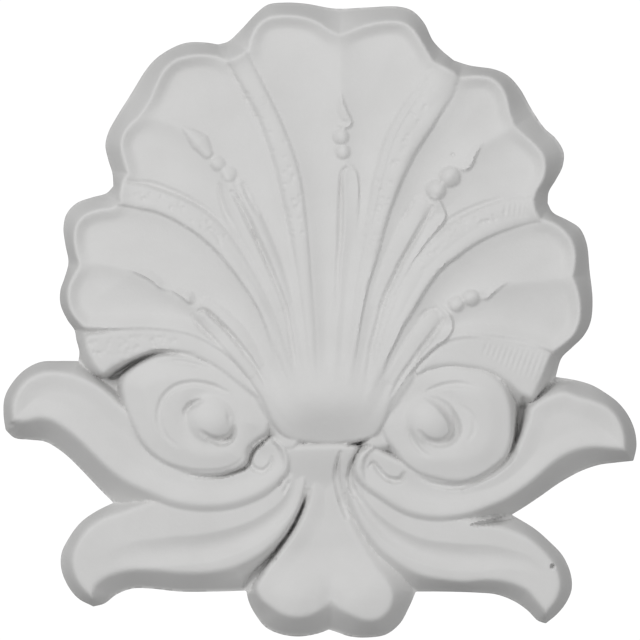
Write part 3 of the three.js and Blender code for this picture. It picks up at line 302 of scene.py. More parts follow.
# Lines of the fan, from beyond the rim towards the hub, which ends them all, and anticlockwise from
# the left band.
HUB = (330, 452)
SPOKES = [
    [(40, 345), (75, 331), (100, 330), (125, 328), (160, 326), (190, 332), (215, 348), (240, 374),
     (262, 402), (290, 432)],
    [(40, 262), (80, 265), (100, 264), (138, 274), (165, 290), (193, 306), (219, 324), (243, 350),
     (262, 382), (285, 415)],
    [(70, 200), (125, 207), (158, 213), (186, 227), (213, 248), (241, 282), (265, 325), (283, 370),
     (300, 410)],
    [(70, 180), (130, 181), (160, 188), (190, 200), (215, 217), (236, 243), (258, 280), (275, 315),
     (290, 360), (306, 405)],
    [(95, 118), (140, 118), (160, 120), (183, 130), (207, 155), (228, 178), (245, 205), (264, 240),
     (280, 280), (293, 330), (303, 375)],
    [(205, 20), (228, 64), (243, 92), (259, 122), (272, 160), (281, 195), (290, 235), (298, 280),
     (304, 325), (310, 375)],
    [(235, 15), (249, 55), (264, 85), (284, 127), (299, 172), (306, 218), (311, 270), (315, 320),
     (318, 375)],
    [(340, -20), (340, 36), (341, 95), (344, 150), (343, 200), (340, 260), (337, 320), (334, 380)],
    [(470, 30), (433, 70), (410, 103), (392, 135), (381, 170), (370, 215), (360, 260), (352, 310),
     (347, 360), (342, 400)],
    [(480, 40), (459, 80), (453, 97), (432, 128), (411, 158), (397, 190), (384, 225), (374, 265),
     (364, 305), (357, 350), (350, 395)],
    [(560, 100), (513, 127), (482, 146), (449, 176), (433, 205), (415, 240), (395, 282), (378, 325),
     (366, 368), (355, 405)],
    [(590, 185), (535, 195), (505, 199), (470, 212), (438, 235), (413, 262), (396, 295), (382, 335),
     (370, 375), (358, 410)],
    [(600, 215), (540, 222), (510, 229), (483, 240), (458, 256), (433, 281), (412, 312), (395, 346),
     (380, 380), (362, 415)],
    [(640, 275), (573, 278), (540, 281), (508, 284), (472, 297), (448, 316), (430, 342), (410, 370),
     (390, 400), (368, 428)],
    [(640, 385), (575, 355), (540, 348), (510, 339), (480, 334), (455, 340), (432, 362), (410, 390),
     (390, 415), (370, 432)],
]
RIBS = {2: 1.6, 5: 1.6, 8: 2.1, 11: 1.7}  # height of the rib after a spoke


# Curves on the grid

def spline(points, step=4.0, closed=False):
    """A centripetal curve through points, as grid points about step apart."""
    p = np.array(points, float)
    if closed:
        q = np.vstack([p[-1], p, p[0], p[1]])
        spans = len(p)
    else:
        q = np.vstack([2 * p[0] - p[1], p, 2 * p[-1] - p[-2]])
        spans = len(p) - 1
    out = []
    for i in range(spans):
        a, b, c, d = q[i:i + 4]
        t0, t1, t2 = (max(np.hypot(*(v - u)), 1e-6) ** 0.5 for u, v in ((a, b), (b, c), (c, d)))
        m1 = ((b - a) / t0 - (c - a) / (t0 + t1) + (c - b) / t1) * t1
        m2 = ((c - b) / t1 - (d - b) / (t1 + t2) + (d - c) / t2) * t1
        cuts = max(1, math.ceil(np.hypot(*(c - b)) / step))
        for t in np.arange(cuts) / cuts:
            bend = (-3 * b + 3 * c - 2 * m1 - m2) * t * t + (2 * b - 2 * c + m1 + m2) * t ** 3
            out.append(b + m1 * t + bend)
    if not closed:
        out.append(p[-1])
    return np.array(out)


def loop(*groups, step=4.0):
    """Arcs that follow one another, joined to one closed line."""
    arcs = [arc for group in groups for arc in group]
    ends = [arc[-1] for arc in arcs[-1:] + arcs[:-1]]
    return np.vstack([spline([end, *arc], step)[:-1] for end, arc in zip(ends, arcs)])


def to_line(x, y, line, closed=False):
    """Distance to a line, the side (+1 on its right as seen) and the share along it."""
    ends = np.vstack([line, line[:1]]) if closed else line
    segments = np.diff(ends, axis=0)
    lengths = np.hypot(segments[:, 0], segments[:, 1])
    start = np.concatenate([[0], np.cumsum(lengths)])
    best = np.full(x.shape, np.inf)
    side = np.ones(x.shape)
    share = np.zeros(x.shape)
    for (ax, ay), (dx, dy), length, walked in zip(ends, segments, lengths, start):
        if length < 1e-9:
            continue
        px, py = x - ax, y - ay
        u = np.clip((px * dx + py * dy) / length ** 2, 0, 1)
        d = (px - u * dx) ** 2 + (py - u * dy) ** 2
        hit = d < best
        best = np.where(hit, d, best)
        side = np.where(hit, np.where(dx * py - dy * px >= 0, 1.0, -1.0), side)
        share = np.where(hit, (walked + u * length) / start[-1], share)
    return np.sqrt(best), side, share


def inside(x, y, line):
    """Whether points lie inside a closed line."""
    odd = np.zeros(x.shape, bool)
    for (ax, ay), (bx, by) in zip(line, np.roll(line, -1, axis=0)):
        if ay != by:
            odd ^= ((ay > y) != (by > y)) & (x < (bx - ax) * (y - ay) / (by - ay) + ax)
    return odd


def depth_in(x, y, line):
    """Distance in from a closed line, negative outside it."""
    return np.where(inside(x, y, line), 1, -1) * to_line(x, y, line, True)[0]


def near(x, y, line, reach):
    """Whether points lie in the box round a line, widened by reach."""
    low, high = line.min(0) - reach, line.max(0) + reach
    return (x > low[0]) & (x < high[0]) & (y > low[1]) & (y < high[1])


def away(x, y, at):
    return np.hypot(x - at[0], y - at[1])


def smooth(start, end, value):
    """0 up to start, 1 from end, and an even S between them."""
    t = np.clip((value - start) / (end - start), 0, 1)
    return t * t * (3 - 2 * t)


def gauss(value, width):
    return np.exp(-(value / width) ** 2)


def along(values, share):
    """Values spread evenly along a curve, read at a share of its length."""
    return np.interp(share, np.linspace(0, 1, len(values)), values)


def offset(line, by, closed):
    """A line moved sideways by a distance in steps."""
    before = np.roll(line, 1, axis=0) if closed else np.vstack([line[:1], line[:-1]])
    after = np.roll(line, -1, axis=0) if closed else np.vstack([line[1:], line[-1:]])
    way = after - before
    way /= np.maximum(np.hypot(way[:, 0], way[:, 1]), 1e-9)[:, None]
    return line + by * np.stack([-way[:, 1], way[:, 0]], 1)


def evenly(line, gap, closed=False):
    """Points spaced evenly along a line, about gap apart."""
    ends = np.vstack([line, line[:1]]) if closed else line
    walked = np.concatenate([[0], np.cumsum(np.hypot(*np.diff(ends, axis=0).T))])
    count = max(2, round(walked[-1] / gap))
    places = np.linspace(0, walked[-1], count + 1)[:count if closed else count + 1]
    return np.stack([np.interp(places, walked, ends[:, k]) for k in (0, 1)], 1)


# Height of the carving

def stroke(h, x, y, path, widths, rise, fullness=1.0):
    """Adds a ridge, or a groove where rise is below 0, along a curve."""
    line = spline(path, 3)
    at = near(x, y, line, max(widths) + 1)
    distance, _, share = to_line(x[at], y[at], line)
    q = np.clip(distance / np.maximum(along(widths, share), LEAST_WIDTH), 0, 1)
    h[at] += along(rise, share) * (1 - q * q) ** fullness


def ledge(h, x, y, path, widths, rise, side):
    """Raises one side of a curve by a sharp step that fades over its width."""
    line = spline(path, 3)
    at = near(x, y, line, max(widths) + 2)
    distance, way, share = to_line(x[at], y[at], line)
    off = distance * way * side
    fade = 1 - np.clip(off / np.maximum(along(widths, share), LEAST_WIDTH), 0, 1)
    h[at] += along(rise, share) * fade * smooth(-LEDGE_ROUND, LEDGE_ROUND, off)


def bead(h, x, y, at, radius, rise, fullness=0.6):
    """Adds a round boss, or a pit where rise is below 0."""
    q = np.clip(away(x, y, at) / radius, 0, 1)
    h += rise * (1 - q * q) ** fullness


def strokes(h, x, y, table):
    for row in table:
        stroke(h, x, y, *row)


# Ridges and grooves: path, half widths in steps, heights in mm along it, and how full the section
# is (under 1 fuller, over 1 sharper).
DART_RIDGES = [
    # upper left: head, then the two flutes of the bell
    ([(182, 127), (191, 134), (202, 145), (207, 153)], (1, 6, 9.5, 6), (0.3, 1.2, 1.6, 1.3), 0.5),
    ([(228, 184), (232, 200), (243, 222), (257, 250), (268, 275), (280, 305)],
     (8, 9, 9, 8, 7, 6), (1, 1.4, 1.3, 1.1, 0.8, 0.3), 0.7),
    ([(240, 184), (246, 196), (254, 214), (266, 243), (277, 270), (287, 300)],
     (5, 6, 7, 7, 6, 5), (0.8, 1.2, 1.2, 1, 0.8, 0.3), 0.7),
    # upper right
    ([(420, 204), (414, 216), (405, 234), (394, 256), (384, 280), (376, 303)],
     (8, 9, 9, 8, 7, 6), (0.8, 1.3, 1.2, 1, 0.7, 0.3), 0.7),
    # lower left
    ([(203, 317), (212, 326), (224, 338), (238, 356), (250, 374)],
     (6, 7, 7, 6, 5), (1.1, 1.4, 1.2, 0.9, 0.4), 0.7),
    ([(205, 303), (218, 311), (232, 325), (246, 343), (258, 363)],
     (6, 7, 8, 8, 6), (0.8, 1.2, 1.2, 1, 0.4), 0.8),
    # lower right
    ([(432, 316), (424, 328), (413, 343), (402, 360), (391, 378)],
     (7, 8, 8, 7, 6), (0.9, 1.4, 1.3, 1, 0.5), 0.7),
]
DART_GROOVES = [
    ([(347, 167), (342, 173), (341, 200), (340, 240), (338, 265), (337, 300), (336, 325)],
     (2, 3, 3.5, 3.5, 3, 3, 2), (-0.6, -1.3, -1.2, -1, -0.8, -0.5, 0), 1.5),
    ([(232, 192), (240, 205), (250, 225), (262, 250), (275, 280), (283, 300), (288, 318),
      (292, 345), (295, 368)],
     (2.5, 3.5, 3.5, 3.5, 3.5, 3.5, 3.5, 3, 2),
     (-0.8, -1.4, -1.5, -1.5, -1.4, -1.3, -1.1, -0.8, 0), 1.5),
    ([(243, 185), (248, 196), (254, 207), (259, 216)], (2, 3, 3, 2), (-0.6, -1.2, -1.1, 0), 1.5),
    ([(219, 184), (220, 195), (224, 210), (233, 228)], (2, 3, 3, 2), (-0.4, -0.7, -0.7, 0), 1.5),
    ([(432, 207), (427, 217), (419, 231), (410, 247), (400, 265), (394, 278), (388, 290),
      (383, 303), (380, 315), (376, 330), (372, 345), (369, 362), (366, 380)],
     (2.5, 4, 4, 4, 4, 4, 3.5),
     (-0.8, -1.7, -1.8, -1.8, -1.7, -1.7, -1.6, -1.5, -1.4, -1.2, -1, -0.6, 0), 1.5),
    ([(413, 202), (407, 212), (402, 222)], (2, 3, 2), (-0.4, -0.7, 0), 1.5),
    ([(199, 311), (206, 311), (215, 319), (227, 330), (240, 345), (252, 361), (262, 378),
      (268, 392)],
     (2.5, 3.5, 3.5, 3.5, 3.5, 3, 3, 2), (-0.8, -1.5, -1.6, -1.5, -1.4, -1.2, -0.8, 0), 1.5),
    ([(192, 315), (198, 324), (207, 333), (218, 344)], (2, 3, 3, 2), (-0.6, -1.1, -1, -0.3), 1.5),
    ([(443, 319), (437, 329), (429, 340), (421, 350), (413, 362), (404, 374), (396, 386),
      (390, 397)],
     (2.5, 4, 4, 4, 4, 4, 3, 2), (-0.9, -1.8, -1.8, -1.7, -1.6, -1.3, -0.9, -0.2), 1.5),
    ([(436, 308), (426, 312), (416, 320)], (2, 3, 2), (-0.3, -0.7, 0), 1.5),
]
DART_BEADS = [
    ((341, 137), 8, 1.7), ((343, 152), 7.5, 1.6), ((218, 164), 7.5, 1.2), ((229, 174), 8, 1.2),
    ((450, 177), 10.5, 2.5), ((436, 190), 10, 2.3), ((189, 297), 6, 1.0), ((471, 298), 8.5, 2.1),
    ((456, 304), 8, 1.9),
]
# Ledges: a path with a sharp edge on one side, widths over which the step fades on the other,
# heights along it, and which side is raised (1 left of a line that runs down the page).
LEDGES = [
    # darts: centre head and bell, upper right, lower left, lower right
    ([(341, 92), (344, 103), (349, 115), (352, 122), (350, 127), (343, 129), (337, 125)],
     (2, 6, 10, 10, 8, 8, 4), (0.2, 1.2, 1.6, 1.7, 1.6, 1.3, 0.2), 1),
    ([(347, 163), (354, 168), (358, 178), (359, 196), (358, 216), (356, 240)],
     (6, 9, 12, 13, 12, 10), (0.5, 1.3, 1.4, 1, 0.4, 0), 1),
    ([(483, 143), (478, 151), (474, 160), (470, 168), (463, 171), (457, 168)],
     (2, 6, 9, 10, 8, 4), (0.2, 1.3, 1.8, 2, 1.6, 0.2), 1),
    ([(430, 196), (438, 199), (443, 207), (446, 216), (441, 226), (433, 235), (424, 246),
      (413, 262), (402, 282), (392, 303)],
     (4, 8, 10, 12, 12, 12, 11, 10, 9, 8), (0.4, 1.5, 1.9, 2, 1.8, 1.4, 1.1, 0.8, 0.5, 0), 1),
    ([(126, 269), (138, 274), (150, 280), (160, 288), (167, 291)],
     (2, 6, 9, 9, 6), (0.1, 1, 1.4, 1.4, 0.3), -1),
    ([(168, 289), (176, 294), (184, 299), (191, 304), (196, 301)],
     (5, 8, 8, 7, 3), (0.3, 1.2, 1.3, 1.4, 0.2), -1),
    ([(511, 281), (505, 284), (496, 291), (487, 299), (480, 300)],
     (2, 4, 7, 8, 4), (0.1, 0.8, 1.4, 1.5, 0.3), 1),
    ([(438, 303), (446, 310), (452, 319), (453, 328), (449, 336), (441, 343), (431, 351),
      (420, 362), (408, 376), (398, 390)],
     (4, 7, 9, 10, 10, 10, 9, 8, 7, 6), (0.3, 1.3, 1.8, 1.9, 1.7, 1.5, 1.2, 0.9, 0.5, 0), 1),
    # ribs: their shaded edges
    ([(447, 102), (432, 128), (416, 152), (402, 180), (392, 205), (384, 230), (379, 250),
      (373, 270), (368, 285), (365, 300), (361, 320), (358, 340), (355, 362)],
     (8, 14, 15, 14, 13, 11, 10, 9, 8, 8, 7, 6, 5),
     (0.2, 1.1, 1.7, 1.9, 1.9, 1.8, 1.7, 1.6, 1.5, 1.4, 1.2, 0.9, 0), 1),
    ([(530, 223), (510, 229), (483, 240), (458, 256), (440, 270), (430, 283), (420, 298),
      (412, 312), (403, 326), (395, 343), (388, 357), (381, 378)],
     (8, 12, 13, 13, 12, 11, 10, 9, 8, 7, 6, 5),
     (0.2, 0.8, 1.1, 1.4, 1.7, 1.8, 1.8, 1.8, 1.6, 1.4, 1, 0), 1),
    ([(122, 205), (140, 209), (158, 213), (186, 227), (213, 248), (241, 282), (253, 300),
      (262, 317), (270, 340), (276, 360)],
     (8, 12, 12, 12, 12, 11, 10, 9, 8, 6), (0.6, 1.3, 1.4, 1.4, 1.5, 1.6, 1.5, 1.3, 0.9, 0), -1),
    ([(251, 62), (264, 87), (284, 129), (299, 172), (306, 218), (309, 250), (311, 285), (312, 305)],
     (6, 10, 11, 11, 10, 9, 8, 6), (0.1, 0.7, 0.8, 0.8, 0.8, 0.6, 0.4, 0), 1),
]
RIB_GROOVES = [
    ([(130, 182), (150, 184), (170, 191), (190, 200), (210, 213), (228, 231)],
     (3, 4.5, 4.5, 4, 4, 3), (-0.5, -1.3, -1.3, -1.1, -0.8, 0), 1.3),
    ([(229, 66), (243, 92), (259, 122), (272, 160), (281, 195), (289, 235), (296, 275)],
     (3, 4, 4, 4, 4, 4, 3), (-0.4, -0.7, -0.7, -0.6, -0.6, -0.5, 0), 1.3),
    ([(500, 199), (482, 205), (465, 212), (448, 222), (432, 238)],
     (3, 4, 4, 4, 3), (-0.4, -1, -1.1, -0.9, 0), 1.3),
]
VOLUTE_LEFT_LINES = [
    ([(228, 392), (212, 386), (195, 383), (178, 386), (166, 395), (160, 408), (160, 424),
      (168, 438), (182, 448)],
     (2, 4, 4, 4, 4, 4, 4, 3, 3), (-0.3, -1.3, -1.3, -1.2, -1.1, -0.8, -0.6, -0.4, 0), 1.2),
    ([(186, 418), (186, 411), (190, 406), (198, 402), (205, 399)],
     (2, 4, 4.5, 4, 2), (-0.3, -1.8, -2.6, -2, 0), 1.2),
    ([(199, 429), (205, 434), (213, 439), (223, 441), (230, 438), (234, 430), (235, 424)],
     (2, 3.5, 4.5, 5.5, 5.5, 4, 2), (0, -1.3, -2.1, -3.6, -4.3, -2.2, 0), 1.1),
    ([(227, 409), (229, 417), (230, 426)], (2, 3, 2), (0, -0.6, 0), 1.2),
    ([(146, 448), (165, 463), (185, 469), (205, 471), (225, 469), (240, 461), (246, 451)],
     (2, 2.5, 2.5, 2.5, 2.5, 2.5, 2), (0, -0.5, -0.6, -0.6, -0.6, -0.5, 0), 1.2),
    ([(163, 352), (185, 353), (205, 358), (224, 368)], (2, 2.5, 2.5, 2), (0, -0.5, -0.6, 0), 1.2),
]
VOLUTE_RIGHT_LINES = [
    ([(427, 391), (441, 386), (458, 384), (478, 387)], (2, 4, 4, 2), (-0.5, -1.1, -1, 0), 1.2),
    ([(423, 397), (437, 402), (447, 411), (453, 421), (455, 431), (450, 439), (440, 443),
      (428, 440), (419, 431)],
     (2, 5, 7, 7, 6.5, 6, 5, 4, 2.5), (0, -1.4, -2.4, -3.3, -4, -3.4, -2.4, -1.5, -0.4), 1.1),
    ([(410, 424), (411, 434), (415, 444), (422, 452), (432, 457)],
     (2, 3, 3, 3, 2), (0, -0.7, -0.8, -0.7, 0), 1.2),
    ([(456, 404), (467, 410), (474, 420), (473, 432), (464, 445)],
     (2, 3, 4, 3, 2), (0, -0.3, -0.4, -0.3, 0), 1.2),
]
CURL_LEFT = [
    ([(276, 438), (286, 448), (290, 462), (288, 475), (280, 487)],
     (5, 7, 7, 6, 4), (2.6, 2.2, 1.5, 0.9, 0), 0.8),
    ([(272, 457), (270, 465), (263, 471), (255, 469), (251, 462), (253, 454), (261, 449)],
     (2, 3, 3.5, 3.5, 3, 2, 2), (-0.4, -1.3, -1.5, -1.3, -0.9, -0.5, 0), 1.2),
    ([(286, 470), (284, 480), (278, 488), (268, 495)], (2, 2.5, 2.5, 2), (0, -1, -1, 0), 1.2),
]
CURL_RIGHT = [
    ([(374, 443), (364, 450), (359, 461), (359, 475), (365, 488)],
     (5, 6, 6, 6, 4), (2.4, 2, 1.5, 0.9, 0), 0.8),
    ([(369, 467), (373, 463), (378, 469), (384, 476), (392, 480), (400, 480), (404, 473)],
     (2, 3, 3.5, 3.5, 4, 4, 2.5), (-0.6, -1.4, -1.4, -1.4, -2.4, -2.4, -0.8), 1.2),
]
CHANNEL_LEFT = [
    ([(300, 450), (298, 475), (288, 504), (258, 530), (215, 546), (170, 551), (130, 555),
      (105, 561)], (3, 6, 10, 13, 15, 15, 14, 8), (0, -0.8, -1.4, -1.8, -1.8, -1.6, -0.8, 0), 1.4),
]
CHANNEL_RIGHT = [
    ([(355, 470), (362, 502), (385, 530), (420, 550), (460, 557), (500, 558), (528, 564),
      (544, 575)], (2, 5, 9, 12, 14, 14, 10, 6), (0, -0.9, -1.4, -1.8, -1.8, -1.5, -0.7, 0), 1.4),
]
NECK_LINES = [
    ([(340, 452), (337, 466), (337, 484), (341, 500)],
     (2, 4, 4.5, 4), (-0.6, -1.7, -1.8, -1.4), 1.2),
]
# Small cuts, creases and edges that the CAD solid leaves out.
FINE_CUTS = [
    # the centre dart's and the upper left dart's main lines, and the bright edge of the right rib
    ([(342, 171), (341, 200), (340, 240), (338, 265)], (3, 5, 5, 3), (-0.2, -0.6, -0.6, 0), 1),
    ([(236, 198), (250, 225), (262, 250), (275, 280)], (3, 5, 5, 3), (-0.2, -0.6, -0.6, 0), 1),
    ([(431, 72), (409, 104), (391, 136), (380, 171), (371, 212), (362, 250)],
     (3, 5, 5, 5, 4, 3), (0.3, 1, 1.1, 1.1, 0.8, 0), 1),
    # above the left band and on from its pocket
    ([(72, 329), (90, 331), (108, 331), (124, 330)], (3, 3.5, 3, 2), (-1.6, -1.4, -0.9, 0), 1.2),
    ([(100, 377), (112, 376), (124, 370), (136, 362), (148, 356), (160, 352), (200, 354)],
     (2.5, 4.5, 5, 4.5, 3, 2, 1.5), (-1, -4, -5, -4, -2, -0.8, 0), 1),
    ([(160, 361), (185, 362), (200, 366), (215, 371)], (2, 3, 3, 2), (-0.3, -0.7, -0.7, 0), 1.2),
    # above the right band and the pockets beside it
    ([(470, 334), (500, 338), (530, 344), (550, 352)],
     (2, 2.5, 2.5, 2), (-0.3, -0.6, -0.6, -0.3), 1.2),
    ([(523, 399), (523, 407), (521, 417), (519, 430), (516, 442)],
     (3, 5, 4.5, 3.5, 2), (-2, -5, -5, -5, -1.5), 0.8),
    ([(515, 442), (511, 456), (498, 468), (480, 479), (460, 486), (435, 484), (413, 474)],
     (3, 5, 5, 4, 4, 3, 2), (-1.5, -2.6, -2.8, -2.5, -2, -1, 0), 1.2),
    ([(536, 399), (546, 391), (558, 383), (572, 380)], (2, 3.5, 3.5, 2), (-2, -4, -3.5, -1), 1),
    ([(472, 524.5), (486, 523), (500, 520.5), (512, 517.5)],
     (1.2, 2.5, 4, 3), (-1.5, -5, -8, -6), 0.7),
    # beside the stem and the left curl
    ([(309, 490), (301, 510), (293, 527), (283, 543), (272, 558), (262, 569), (253, 579),
      (248, 588)], (2, 2, 2, 2, 2.5, 3.5, 5, 5.5), (-0.5, -2, -3, -3, -4, -6, -8, -8), 0.6),
    ([(341, 452), (337, 466), (337, 484), (341, 500), (347, 518)],
     (2, 3.5, 4, 4, 3), (-0.3, -0.8, -1.4, -2.2, -1), 1.2),
    ([(358, 451), (351, 465), (350, 480), (354, 492), (361, 502)],
     (2, 3.5, 4, 4, 2), (-0.4, -1.6, -2.2, -2.2, -0.4), 1.2),
    ([(283, 478), (279, 486)], (2, 2), (-0.8, -0.8), 1.2),
    ([(289, 482), (284, 492)], (2, 2), (-0.8, -0.8), 1.2),
]
PITS = [((552, 566), 2.8, -3.0), ((12, 424), 3, -0.7), ((453, 155), 2.2, -0.5)]

# Lines pressed across the right band and a rib: how many, the upper end of the first and the way to
# the next, the first one's length and its growth, the slant, half widths, and shares of CRIMP.
PRESSED = [
    (12, (487, 343), (5.3, 1.1), 12, 1.4, -0.36, (2.0, 2.2, 1.6), (-0.4, -1, -0.3)),
    (5, (506, 203), (5.2, 0), 16, 0, -0.125, (1.6, 2.2, 1.6), (-0.5, -1, 0)),
]

# Ribs with a stippled ground: middle line and how far the dimples reach to its sides.
STIPPLED = [
    ([(433, 92), (413, 118), (398, 150), (386, 185), (377, 220), (369, 255)], 8),
    ([(243, 76), (262, 112), (278, 150), (291, 195), (300, 240)], 9),
    ([(500, 214), (478, 219), (455, 232), (434, 250), (420, 268)], 7),
    ([(140, 195), (170, 202), (200, 221), (224, 243)], 6),
]
STIPPLES = 34  # on each rib
STIPPLE = (2.0, 3.2), (0.5, 1.4)  # radii, and depths as shares of DIMPLE
BAND_DIMPLES = 46
BAND_DIMPLE = (2.2, 3.6), (0.4, 1)
BAND_BOX = (86, 336), (176, 352)
BAND_BROAD_TO = 130  # the band's outer end is broader
BAND_BROADER = 12
SEED = 7

# Small open gaps cut right down between motifs.
GAPS = [
    ([(346, 445), (354, 444), (362, 442), (369, 439)], (1.2, 2.2, 2.4, 1.5), (-1, -4, -5, -1), 1),
    ([(274, 434), (268, 438), (261, 444), (253, 452), (250, 460), (246, 467), (235, 472),
      (220, 476), (200, 477), (180, 473)],
     (1.5, 2.2, 2.6, 2.6, 2.6, 2.2, 2, 2, 2, 1.5),
     (-0.5, -3.5, -4.5, -4, -4, -3, -2.2, -1.6, -1, 0), 1),
]
# The neck below the hub, and the slopes from the shell down to the volutes.
NECK_CROWN = [
    (286, 449), (296, 446), (330, 445), (350, 445), (356, 448), (352, 460), (349, 478), (345, 494),
    (336, 505), (318, 506), (306, 497), (297, 491), (291, 480), (288, 465),
]
NECK_FOOT = [
    (268, 442), (284, 434), (330, 432), (360, 434), (367, 442), (361, 462), (359, 484), (355, 506),
    (344, 526), (312, 526), (294, 512), (278, 498), (272, 480), (271, 460),
]
WEB_LEFT_CROWN = [
    (240, 364), (252, 380), (262, 402), (269, 420), (274, 434), (279, 444), (286, 450), (294, 450),
    (299, 442), (291, 428), (281, 414), (270, 394), (254, 370), (245, 362),
]
WEB_LEFT_FOOT = [
    (214, 352), (170, 362), (130, 385), (124, 410), (138, 444), (162, 468), (200, 480), (240, 474),
    (255, 456), (268, 452), (284, 458), (302, 452), (330, 440), (325, 400), (290, 350), (240, 335),
]
WEB_RIGHT_CROWN = [
    (366, 445), (372, 448), (382, 448), (389, 444), (387, 428), (390, 412), (398, 396), (412, 374),
    (407, 368), (396, 380), (384, 400), (374, 420), (365, 432), (362, 441),
]
WEB_RIGHT_FOOT = [
    (352, 446), (366, 454), (384, 460), (402, 474), (440, 488), (480, 482), (510, 460), (517, 430),
    (515, 395), (490, 372), (450, 350), (415, 335), (380, 350), (345, 400),
]


def sheet(x, y):
    """The shell's height without its carving."""
    return RIM + HUB_RISE * gauss(away(x, y, SWELL_CENTRE), SWELL_REACH)


def shell_top(x, y, depth):
    """The fan shell: a swell to the hub, a dish behind the rim, then ribs and scooped panels."""
    hub = away(x, y, SWELL_CENTRE)
    rim = np.maximum(depth, 0)
    across, down = x - UMBO_CENTRE[0], y - UMBO_CENTRE[1]
    h = sheet(x, y)
    h += UMBO_RISE * np.exp(-np.hypot(across / UMBO_HALF[0], down / UMBO_HALF[1]) ** 3)
    h -= DISH * (rim / DISH_AT) * np.exp(1 - rim / DISH_AT) * smooth(*DISH_STARTS, hub)
    h -= UMBO_FALL * smooth(*UMBO_FALLS, y) ** 1.5 * gauss(across, UMBO_FALL_HALF)
    offsets = []
    for points in SPOKES:
        distance, side, _ = to_line(x, y, spline([*points, HUB], 8))
        offsets.append(-side * distance)
    fade = smooth(*CARVING_STARTS, hub)
    for k, (before, after) in enumerate(zip(offsets, offsets[1:])):
        at = (before >= 0) & (after < 0)
        width = np.maximum(before[at] - after[at], LEAST_WIDTH)
        bow = 4 * (before[at] / width) * (1 - before[at] / width)
        edge = np.minimum(before[at], -after[at])
        bow = bow * edge / (edge + RIDGE_ROUND * np.exp(-edge / RIDGE_ROUND))
        if k in RIBS:
            h[at] += np.minimum(RIBS[k], RIB_SLOPE * width * MM) * bow ** RIB_FULLNESS * fade[at]
        else:
            scoop = SCOOP * (1 - np.exp(-SCOOP_SLOPE * width * MM / SCOOP))
            h[at] -= scoop * bow * smooth(0, SCOOP_STARTS, rim[at]) * fade[at]
    strokes(h, x, y, DART_RIDGES)
    for row in DART_BEADS:
        bead(h, x, y, *row)
    strokes(h, x, y, DART_GROOVES + RIB_GROOVES)
    for row in LEDGES:
        ledge(h, x, y, *row)
    return h


def band_top(x, y, depth):
    return sheet(x, y) - BAND_STEP


def web_top(x, y, depth):
    return sheet(x, y) - WEB_DROP - WEB_FALL * smooth(*WEB_FALLS, y)


def neck_top(x, y, depth):
    h = NECK - NECK_FALL * smooth(*NECK_FALLS, y)
    strokes(h, x, y, NECK_LINES)
    return h


def volute_top(eye, radius, ring, ring_width, lines):
    def top(x, y, depth):
        h = VOLUTE + VOLUTE_SWELL * smooth(0, VOLUTE_EDGE, depth)
        h -= EYE_RING * gauss(away(x, y, eye) - ring, ring_width)
        h += VOLUTE_LIFT * gauss(away(x, y, LIFT_CENTRE), LIFT_REACH)
        bead(h, x, y, eye, radius, EYE, EYE_FULLNESS)
        strokes(h, x, y, lines)
        return h
    return top


def leaf_top(edge, hollow, lines):
    def top(x, y, depth):
        h = edge - hollow * smooth(0, LEAF_EDGE, depth)
        strokes(h, x, y, lines)
        return h
    return top


def stem_top(x, y, depth):
    """The stem, sinking from the neck, with a hollow that ends where it swells into the drop."""
    in_drop = smooth(*DROP_STARTS, y)
    h = STEM + DROP_RISE * smooth(*DROP_SWELLS, y) + LEAF_HOLLOW * (1 - smooth(*STEM_SINKS, y))
    h -= LEAF_HOLLOW * smooth(0, LEAF_EDGE, depth) * (1 - in_drop)
    for lobe in LOBES:
        h += LOBE * gauss(away(x, y, lobe), LOBE_REACH)
    return h - LOBE * gauss(x - NOTCH_AT, NOTCH_HALF) * in_drop


def closed(points):
    return spline(points, closed=True)


# Each motif: its crown, its foot at the back and its top.
MOTIFS = [
    (loop(SHELL_CROWN), loop(SHELL_OUTLINE, SHELL_UNDER), shell_top),
    (closed(BAND_LEFT_CROWN), closed(BAND_LEFT_FOOT), band_top),
    (closed(BAND_RIGHT_CROWN), closed(BAND_RIGHT_FOOT), band_top),
    (loop(UPPER_LEFT_CROWN), loop(UPPER_LEFT_UNDER, UPPER_LEFT_OUTLINE),
     leaf_top(UPPER_LEAF, LEAF_HOLLOW, CURL_LEFT)),
    (loop(UPPER_RIGHT_CROWN), loop(UPPER_RIGHT_OUTLINE, UPPER_RIGHT_UNDER),
     leaf_top(UPPER_LEAF, LEAF_HOLLOW, CURL_RIGHT)),
    (loop(LOWER_LEFT_CROWN), loop(LOWER_LEFT_UNDER, LOWER_LEFT_OUTLINE),
     leaf_top(LOWER_LEAF, 0, CHANNEL_LEFT)),
    (loop(LOWER_RIGHT_CROWN), loop(LOWER_RIGHT_OUTLINE, LOWER_RIGHT_UNDER),
     leaf_top(LOWER_LEAF, 0, CHANNEL_RIGHT)),
    (loop(STEM_CROWN), loop(DROP_OUTLINE, STEM_UNDER), stem_top),
    (closed(NECK_CROWN), closed(NECK_FOOT), neck_top),
    (closed(WEB_LEFT_CROWN), closed(WEB_LEFT_FOOT), web_top),
    (closed(WEB_RIGHT_CROWN), closed(WEB_RIGHT_FOOT), web_top),
    (closed(VOLUTE_LEFT_CROWN), closed(VOLUTE_LEFT_FOOT),
     volute_top(*EYE_LEFT, VOLUTE_LEFT_LINES)),
    (closed(VOLUTE_RIGHT_CROWN), closed(VOLUTE_RIGHT_FOOT),
     volute_top(*EYE_RIGHT, VOLUTE_RIGHT_LINES)),
]
OUTLINE = loop(SHELL_OUTLINE, UPPER_RIGHT_OUTLINE, LOWER_RIGHT_OUTLINE, DROP_OUTLINE,
               LOWER_LEFT_OUTLINE, UPPER_LEFT_OUTLINE, step=2.0)


